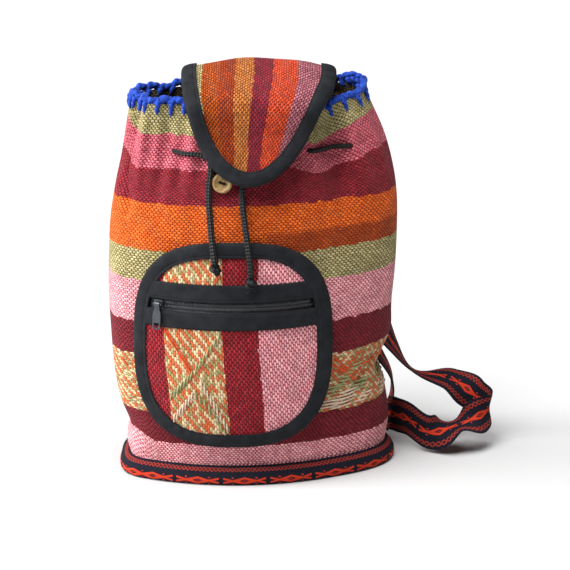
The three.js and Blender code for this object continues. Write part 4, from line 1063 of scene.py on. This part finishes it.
def crochet():
    u = np.arange(ROPE_POINTS) / ROPE_POINTS
    gap = u * STITCHES
    rises = ARCH_LEAST + ARCH_MORE * rng.random(STITCHES)
    arch = rises[gap.astype(int)] * np.sin(pi * (gap % 1)) ** 0.8
    lean = ROPE_LEAN * np.sin(5 * tau * u)
    parts = [tube(on_rim(u, ROPE_RISE + arch, lean - CLOTH / 2), yarn(ROPE_RADIUS), 16, loop=True)]
    t = np.linspace(0, 1, 24)
    for k in range(STITCHES):
        slant = LEG_SLANT * (rng.random() - 0.3)
        for side, (least, more) in ((1, OUTER_LEG), (-1, INNER_LEG)):
            length = least + more * rng.random()
            out = side * (LEG_OUT + CLOTH / 2 + LEG_BOW * np.sin(pi * t)) - CLOTH / 2
            leg = on_rim(k / STITCHES + slant * t, lerp(LEG_TOP, -length, t), out)
            parts.append(tube(leg, yarn(LEG_RADIUS, LEG_TAPER), 14))
    return parts


make("crochet_rim", crochet(), YARN, ["rim_crochet"])


def rounded(depth, height):
    """Fullness of a strip of cloth, which thins towards its two edges."""
    return np.clip(depth * (height - depth) / 12, 0, 1) ** 0.4


TAPE_STITCH = 12.8  # where the tape's upper edge lies on the binding cloth, whose stitches it shows
TAPE_RIM = 1.2  # the tape's thickness at its edges


def seam_tape():
    ends = [share_at(x, SEAM_HEIGHT, True) for x in (SEAM_TAPE_HALF, -SEAM_TAPE_HALF)]
    u = np.linspace(*ends, 90)
    z = np.linspace(SEAM_HEIGHT - SEAM_TAPE_HEIGHT, SEAM_HEIGHT, 16)[:, None]
    run = running_length(body_point(u, SEAM_HEIGHT))
    outer = lerp(2 * SEAT + TAPE_RIM, SEAM_TAPE_DEPTH, rounded(SEAM_HEIGHT - z, SEAM_TAPE_HEIGHT))
    cloth = points(run, z - SEAM_HEIGHT + TAPE_STITCH)
    return sheet(body_point(u, z, outer), body_point(u, z, 2 * SEAT), cloth)


make("tape_back_seam", [seam_tape()], BINDING, ["back_seam_tape"])

# Flap: a striped panel with a bound edge

FLAP_NARROWING = 0.62  # share of their width that the stripes keep at the tip
HOLLOW_DEPTH, HOLLOW_X, HOLLOW_L = -1.3, (-36, 12), (60, 130)
TIP_TURN = pi / 2 * 0.985  # the panel's rows stop just short of its tip


def woven_flap():
    round_off = np.linspace(0, TIP_TURN, 60)[:, None]
    half = FLAP_HALF_WIDTH - PANEL_INSET
    straight = np.linspace(0, ROUND_FROM, 40)[:-1, None]
    l = np.concatenate([straight, ROUND_FROM + (FLAP_TIP_LENGTH - PANEL_INSET) * np.sin(round_off)])
    x = np.linspace(-1, 1, 73) * np.concatenate([np.full_like(straight, half), half * np.cos(round_off)])
    hollow = HOLLOW_DEPTH * bell(x, *HOLLOW_X) * smoothstep(l, *HOLLOW_L) + 0.5 * np.cos(x / 9 + l / 40)
    cloth = points(x / lerp(1, FLAP_NARROWING, smoothstep(l / FLAP_LENGTH, 0.5, 1)), l)
    return sheet(flap_point(x, l, PANEL / 2 + hollow), flap_point(x, l, -PANEL / 2 + hollow), cloth)


make("woven_flap", [woven_flap()], FLAP_WEAVE, ["flap_panel"], "flap")

BINDING_FACE = [(13.6, 2.1), (13.6, 3.1), (12.8, 3.6), (11.6, 3.55), (9.5, 3.9), (7.5, 4.15), (5.6, 4.15)]
BINDING_PUCKER, PUCKER_INSET = 0.04, 8  # share of a binding's height, and how far in from its edge it begins


def binding_section():
    """Cloth folded round an edge: (distance in, height above the middle), and the way across the cloth."""
    a = np.linspace(0, pi, 17)
    nose = points(BINDING_FOLD * (1 - np.sin(a)), BINDING_HALF * np.cos(a))
    top = np.array(BINDING_FACE)
    section = np.vstack([top, nose, top[::-1] * (1, -1)])
    under = np.arange(len(section)) >= len(top) + 8
    return section, np.where(under, -section[:, 0], section[:, 0])


def bind(place, stations, inward, loop=False, wider=0.0):
    """A binding along an edge, at some places wider. place gives a point from (across, along, height)."""
    run = running_length(stations)
    section, over = binding_section()
    pucker = np.sin(run[:, None] / 2.1 + 2 * np.sin(run[:, None] / 17)) * (section[:, 0] > PUCKER_INSET)
    height = section[:, 1] * (1 + BINDING_PUCKER * pucker)
    inset = section[:, 0] * (1 + np.broadcast_to(wider, len(run))[:, None])
    a, b = (stations[:, k, None] + inward[:, k, None] * inset for k in (0, 1))
    cloth = points(run[:, None], np.append(over, over[0]))
    if loop:
        cloth = np.concatenate([cloth, cloth[:1] + (2 * run[-1] - run[-2], 0)])
    return surface(place(a, b, height), cloth, loop)


def flap_binding():
    l = np.linspace(0, ROUND_FROM, 60)[:-1]
    a = np.linspace(0, pi, 181)
    tip = points(-FLAP_HALF_WIDTH * np.cos(a), ROUND_FROM + FLAP_TIP_LENGTH * np.sin(a))
    stations = np.vstack([points(-FLAP_HALF_WIDTH, l), tip, points(FLAP_HALF_WIDTH, l[::-1])])
    side, none = np.ones_like(l), np.zeros_like(l)
    round_tip = points(np.cos(a) / FLAP_HALF_WIDTH, -np.sin(a) / FLAP_TIP_LENGTH)
    inward = unit(np.vstack([points(side, none), round_tip, points(-side, none)]))
    return bind(flap_point, stations, inward)


make("binding_flap", [flap_binding()], BINDING, ["flap_binding"], "flap")

LOOP_ROUTE = [(8, 15), (0, 15), (-8, 14.5), (-13, 11.5), (-8, 8.5), (0, 8), (8, 8)]  # x, and how far back
LOOP_UNDER = -(BINDING_HALF + SEAT + 1)


def flap_loop():
    route = [flap_point(x, FLAP_LENGTH - back, LOOP_UNDER) for x, back in LOOP_ROUTE]
    return tube(even(spline(route, 300), 0.5), braid(0.35, 2.4), 10)


make("loop_flap", [flap_loop()], BRAID, ["flap_loop"], "flap")

# Pocket

POCKET_LEAN, LEAN_FROM, LEAN_FULL = 6.5, 150, 45  # how far its stripes lean to the right towards the bottom
POCKET_TOP, POCKET_BOTTOM = POCKET_MIDDLE + POCKET_HALF_HEIGHT, POCKET_MIDDLE - POCKET_HALF_HEIGHT


def power(v, p):
    return np.sign(v) * np.abs(v) ** p


def on_pocket(s, z, h):
    """A point on the front of the pocket's cloth, which waves a little."""
    return pocket_point(s, z, h + 0.35 * np.cos(s / 16 + z / 23) + 0.3 * np.cos(s / 9 - z / 31))


def woven_pocket(low, high):
    height = POCKET_HALF_HEIGHT - PANEL_INSET
    share = np.clip((np.array([low, high]) - POCKET_MIDDLE) / height, -0.99, 0.99)
    turn = np.sign(share) * np.arcsin(np.abs(share) ** (POCKET_ROUNDNESS / 2))
    z = POCKET_MIDDLE + height * power(np.sin(np.linspace(*turn, 90))[:, None], 2 / POCKET_ROUNDNESS)
    s = np.linspace(-1, 1, 110) * pocket_half(z, PANEL_INSET)
    cloth = points(s - POCKET_LEAN * smoothstep(z, LEAN_FROM, LEAN_FULL), z)
    return sheet(on_pocket(s, z, 0), on_pocket(s, z, -PANEL), cloth)


for word, low, high in (
    ("upper", ZIP_HEIGHT + PANEL_TO_ZIP, POCKET_TOP), ("lower", POCKET_BOTTOM, ZIP_HEIGHT - PANEL_TO_ZIP),
):
    panel = woven_pocket(low, high)
    make(f"woven_pocket_{word}", [panel], POCKET_WEAVE, [f"pocket_{word}_panel"])

POCKET_FLOATS = {
    "flame": [((-63, 149), (-38, 112), (13, -19), 2, 0.9), ((-61, 150), (-36, 113), (13, -19), 2, 0.7)],
    "leaf": [
        ((-11, 148), (-35, 112), (-1.6, -9), 7), ((-36, 110), (-58, 86), (-2, -9), 7),
        ((-36, 93), (-19, 76), (1.4, -9), 4), ((-19, 76), (-6, 50), (1.8, -9.5), 4),
    ],
    "cream": [((-30, 104), (-4, 56), (1, -9.5), 9), ((-36, 90), (-55, 64), (-1.2, -10), 7)],
}
lay_floats("pocket", on_pocket, POCKET_FLOATS, "pocket_lower_panel")

BINDING_EXTRA, EXTRA_S = 0.2, (30, 85)  # the pocket's binding is wider at its right, between these places


def pocket_binding():
    t = tau * (np.arange(360) + 0.5) / 360
    half = np.array([POCKET_HALF_WIDTH, POCKET_HALF_HEIGHT])
    edge = half * power(points(np.cos(t), np.sin(t)), 2 / POCKET_ROUNDNESS)
    inward = -unit(power(edge / half, POCKET_ROUNDNESS - 1) / half)
    wider = BINDING_EXTRA * smoothstep(edge[:, 0], *EXTRA_S)
    stations = edge + (0, POCKET_MIDDLE)
    return bind(lambda s, z, h: pocket_point(s, z, h - PANEL / 2), stations, inward, True, wider)


make("binding_pocket", [pocket_binding()], BINDING, ["pocket_binding"])

# Zip: facings, tapes and coils; the stops, slider and pull keep their CAD shape with softened edges

CHAIN_HALF_LENGTH = float(pocket_half(ZIP_HEIGHT, BINDING_WIDTH)) - CHAIN_GAP
COIL_PITCH, COIL_WIRE, COIL_REACH, COIL_RISE = 1.5, 0.4, 1.35, 0.75
FACING_RIM, FACING_TUCK = 0.3, 2  # a facing's thickness at its edges, and how far it goes under the binding


def pocket_sheet(z, beyond, front, back, columns, place):
    """A strip across the pocket, to beyond its binding's inner edge, between two heights above its face."""
    s = np.linspace(-1, 1, columns) * (pocket_half(z, BINDING_WIDTH) + beyond)
    return sheet(pocket_point(s, z, front), pocket_point(s, z, back), points(s, place))


for side, word in ((1, "upper"), (-1, "lower")):
    depth = np.linspace(0, FACING_HEIGHT, 16)[:, None]
    z = ZIP_HEIGHT + side * (ZIP_SLOT / 2 + depth)
    front = 2 * SEAT + lerp(FACING_RIM, FACING, rounded(depth, FACING_HEIGHT))
    facing = pocket_sheet(z, FACING_TUCK, front, 2 * SEAT, 100, depth)
    make(f"facing_zip_{word}", [facing], FACING_CLOTH, [f"zip_facing_{word}"])
    z = ZIP_HEIGHT + side * np.linspace(0.05, TAPE_EDGE, 12)[:, None]
    tape = pocket_sheet(z, SEAT, TAPE_FRONT, TAPE_FRONT - TAPE, 90, z)
    make(f"tape_zip_{word}", [tape], TAPE_CLOTH, [f"zip_tape_{word}"])
    s = np.arange(-CHAIN_HALF_LENGTH, CHAIN_HALF_LENGTH, COIL_PITCH / 12)
    wind = tau * s / COIL_PITCH + (0 if side > 0 else pi)
    middle = ZIP_HEIGHT + side * (CHAIN_SLIT + COIL_EDGE) / 2
    height = COIL_BACK + COIL_DEPTH / 2 + COIL_RISE * np.sin(wind)
    coil = tube(pocket_point(s, middle + COIL_REACH * np.cos(wind), height), COIL_WIRE, 6)
    make(f"coil_zip_{word}", [coil], NYLON, [f"zip_coil_{word}"])

METAL_EDGE, METAL_ANGLE = 0.22, radians(35)
for node, body, metal in (
    ("zip_slider", "zip_slider", PLATING), ("zip_pull", "zip_pull", PLATING),
    ("zip_stop_left", "bag", SHADED_PLATING), ("zip_stop_right", "bag", SHADED_PLATING),
):
    piece = add(f"metal_{node}", bpy.data.objects[node].data.copy())
    bevel = piece.modifiers.new("edges", "BEVEL")
    bevel.width, bevel.segments, bevel.limit_method = METAL_EDGE * MM, 2, "ANGLE"
    bevel.angle_limit = METAL_ANGLE
    piece.data.materials.clear()
    dress(piece, metal, [node], body)

# Shoulder straps: flat ribbons laid along their CAD routes

def strap_top(x):
    stations = []
    for down, out in ((0, 0.4), (16, 1.4)):
        z = STRAP_TOP - down
        width = on_body(x + 8, z, 0, True) - on_body(x - 8, z, 0, True)
        stations.append((on_body(x, z, ON_BACK + out, True), width))
    return stations


def strap_foot(u):
    z = TRIM_HEIGHT + SEAT + STRAP_WIDTH / 2 + 1
    return body_point(u, z, ON_BACK + 0.6), (0, 0, 1)


STRAP_FLOOR = RIBBON / 2 + 0.9
STRAP_CORNER_HEIGHT = 60  # the height at which the body's corner is taken, from which the routes are measured
RIGHT_ROUTE = [  # point, then the direction of the ribbon's width there
    ((-85, 10, 250), (0.95, 0, 0.3)), ((-40, 13, 168), (0.85, 0.25, 0.45)), ((-8, 4, 112), (0.5, 0.8, 0.35)),
    ((9, -1, 84), (0.22, 0.96, 0)), ((27, -5, 62), (0, 0.97, -0.22)), ((62, -16, 57), (0.05, 0.93, 0.37)),
    ((86, -28, 44), (0.05, 0.15, 0.98)), ((97, -40, 38), (0.06, 0, 1)), ((86, -50, 31), (0.08, 0.45, 0.89)),
    ((67, -56, 24), (0, 0.98, 0.02)), ((41, -62, 20), (-0.1, 0.1, 1)), ((20, -42, 27), (0.12, -0.1, 1)),
    ((7, -22, 24), (0.1, -0.1, 1)),
]
LEFT_ROUTE = [
    ((-130, 17, 256), (0.95, 0, 0.3)), ((-86, 27, 188), (0.8, 0.2, 0.5)), ((-40, 28, 124), (0.5, 0.8, 0.3)),
    ((-8, 22, 76), (0.15, 0.97, 0.1)), ((8, 20, 45), (0, 1, 0)), ((4, 21, 18), (0, 1, 0)),
    ((-20, 25, 5), (0, 1, 0)), ((-60, 28, STRAP_FLOOR), (0, 1, 0)), ((-120, 30, STRAP_FLOOR), (0, 1, 0)),
    ((-180, 27, 4), (0, 1, 0.1)), ((-215, 19, 17), (0, 0.7, 0.7)),
]
STRAP_POINTS = 420


def strap(top_x, route, foot_share):
    """The ribbon's surface and its length."""
    corner = np.array([reach("right", STRAP_CORNER_HEIGHT), reach("back", STRAP_CORNER_HEIGHT), 0])
    stations = strap_top(top_x) + [(corner + p, w) for p, w in route] + [strap_foot(foot_share)]
    path = spline([p for p, _ in stations], STRAP_POINTS)
    width = spline([unit(np.array(w, float)) for _, w in stations], STRAP_POINTS)
    along = unit(np.gradient(path, axis=0))
    width = unit(width - (width * along).sum(1, keepdims=True) * along)
    normal = np.cross(along, width)
    run = running_length(path)
    a = np.linspace(-1, 1, 25)
    thick = RIBBON / 2 * np.clip(1 - a**8, 0.25, 1)
    across = np.concatenate([a, a[::-1]]) * STRAP_WIDTH / 2
    lift = np.concatenate([thick, -thick[::-1]])
    grid = path[:, None] + across[:, None] * width[:, None] + lift[:, None] * normal[:, None]
    return surface(grid, points(run[:, None], np.append(across, across[0]))), run[-1]


for word, top_x, route, foot_share in (
    ("right", STRAP_TOP_X, RIGHT_ROUTE, 0.46), ("left", -STRAP_TOP_X, LEFT_ROUTE, 0.71),
):
    webbing, length = strap(top_x, route, foot_share)
    piece = make(f"ribbon_strap_{word}", [webbing], RIBBON_CLOTH, [f"strap_{word}"])

# Sheets of cloth: the size each was cut to, and the bindings and stitches sewn to it

PANEL_WIDTH = 2 * (POCKET_HALF_WIDTH - PANEL_INSET)
POCKET_UPPER_LENGTH, POCKET_LOWER_LENGTH = 44, 122
BASE_LENGTH, BASE_WIDTH = 250, 152
SHEETS = {
    "woven_body": (
        BODY_RUN[-1], RIM_HEIGHT - BODY_FOOT, "gathered", "base_panel",
        ["crochet_rim", "tape_back_seam"] + [f"floats_body_{tone}" for tone in BODY_FLOATS]),
    "woven_base": (BASE_LENGTH, BASE_WIDTH, "stretched", "base_trim", ["ribbon_trim"]),
    "woven_flap": (
        2 * (FLAP_HALF_WIDTH - PANEL_INSET), FLAP_LENGTH, "draped", "back_seam_tape",
        ["binding_flap", "loop_flap"]),
    "woven_pocket_upper": (
        PANEL_WIDTH, POCKET_UPPER_LENGTH, "stretched", "pocket_binding",
        ["facing_zip_upper", "tape_zip_upper"]),
    "woven_pocket_lower": (
        PANEL_WIDTH, POCKET_LOWER_LENGTH, "stretched", "pocket_binding",
        ["binding_pocket", "facing_zip_lower", "tape_zip_lower"]
        + [f"floats_pocket_{tone}" for tone in POCKET_FLOATS]),
}
for name, (width, length, held, node, sewn) in SHEETS.items():
    piece = bpy.data.objects[name]

# Button: turned and dished wood with two holes, sewn on with a few strands

BUTTON_X, BUTTON_DROP, BUTTON_RADIUS, BUTTON_THICKNESS = -27, 65.5, 9, 4.4
BUTTON_SHANK, BUTTON_HOLE, BUTTON_HOLE_SPACING, BUTTON_TURN = 1.4, 1.2, 2.4, radians(-20)
BUTTON_SHARP_ANGLE = radians(40)


def button_frame():
    z = RIM_HEIGHT - BUTTON_DROP
    across = unit(on_body(BUTTON_X + BUTTON_RADIUS, z) - on_body(BUTTON_X - BUTTON_RADIUS, z))
    up = on_body(BUTTON_X, z + BUTTON_RADIUS) - on_body(BUTTON_X, z - BUTTON_RADIUS)
    out = unit(np.cross(across, up))
    turned = cos(BUTTON_TURN) * across - sin(BUTTON_TURN) * np.cross(across, out)
    return on_body(BUTTON_X, z) + BUTTON_SHANK * out, turned, out, np.cross(turned, out)


def in_button(x, y, z):
    """A point in the button's frame: x along its holes, y out of the cloth."""
    place, along, out, other = button_frame()
    return place + np.multiply.outer(x, along) + np.multiply.outer(y, out) + np.multiply.outer(z, other)


def lathe(profile, sides):
    r, y = profile.T
    a = tau * np.arange(sides)[:, None] / sides
    grid = in_button(r * np.cos(a), y + 0 * a, r * np.sin(a))
    return surface(grid, np.zeros((sides + 1, len(profile) + 1, 2)), loop=True)


def wood_button():
    t, r = BUTTON_THICKNESS, BUTTON_RADIUS
    route = [(0.03, 0), (r - 2.4, 0), (r - 0.7, 0.5), (r, 1.6), (r, 2.8), (r - 0.5, t - 0.4), (r - 1.5, t),
             (r - 2.5, t - 0.3), (r - 3.4, t - 1.5), (r - 4.4, t - 2.0), (0.03, t - 2.1)]
    piece = make("wood_button", [lathe(spline(route, 60), 96)], WOOD, ["button"])
    for side in (-1, 1):
        path = in_button(np.full(12, side * BUTTON_HOLE_SPACING), np.linspace(-3, 8, 12), np.zeros(12))
        drill = make(f"drill_{side + 2}", [tube(path, BUTTON_HOLE, 24)], WOOD, ["button"])
        hole = piece.modifiers.new("hole", "BOOLEAN")
        hole.operation, hole.object, hole.solver = "DIFFERENCE", drill, "EXACT"
        done = bpy.data.meshes.new_from_object(piece.evaluated_get(bpy.context.evaluated_depsgraph_get()))
        piece.modifiers.clear()
        piece.data = done
        bpy.data.objects.remove(drill)
    piece.data.shade_smooth()
    piece.data.set_sharp_from_angle(angle=BUTTON_SHARP_ANGLE)


wood_button()


def button_thread():
    parts = []
    x = BUTTON_HOLE_SPACING * np.array([-1, -1, -0.9, 0, 0.9, 1, 1])
    for k, offset in enumerate((-0.55, 0.05, 0.6)):
        y = np.array([-BUTTON_SHANK, 1.7, 2.7, 3.1 + 0.1 * k, 2.7, 1.7, -BUTTON_SHANK])
        route = in_button(x, y, np.full(7, offset))
        parts.append(tube(even(spline(route, 200), 0.25), braid(0.16, 4), 8))
    return parts


make("thread_button", button_thread(), BRAID, ["button_thread"])

# Floor and light

FLOOR_HALF = 9  # in metres
FLOOR_GREY = (0.57, 0.57, 0.57, 1)
corners = [(x * FLOOR_HALF, y * FLOOR_HALF, 0) for x, y in ((-1, -1), (1, -1), (1, 1), (-1, 1))]
floor_mesh = bpy.data.meshes.new("floor")
floor_mesh.from_pydata(corners, [], [(0, 1, 2, 3)])
floor_mesh.materials.append(Shader("floor", Roughness=0.9, Base_Color=FLOOR_GREY).material)
floor = add("floor", floor_mesh)

LIGHTS = {  # which way each one travels, its power and how far it spreads, in degrees
    "key": ((0.5, 0.42, -1.0), 3.4, 40),
    "side": ((1.0, 0.0, -0.25), 4.2, 30),
    "top": ((0.0, 0.12, -1.0), 2.0, 40),
}
SKY_POWER = 0.08
for name, (travel, power_of_sun, spread) in LIGHTS.items():
    light = bpy.data.lights.new(name, "SUN")
    light.energy, light.angle = power_of_sun, radians(spread)
    lamp = add(name, light)
    lamp.rotation_euler = Vector(travel).to_track_quat("-Z", "Y").to_euler()
world = bpy.data.worlds.new("studio")
world.use_nodes = True
world.node_tree.nodes["Background"].inputs[0].default_value = (1, 1, 1, 1)
world.node_tree.nodes["Background"].inputs[1].default_value = SKY_POWER
scene.world = world
scene.view_settings.view_transform = "Standard"
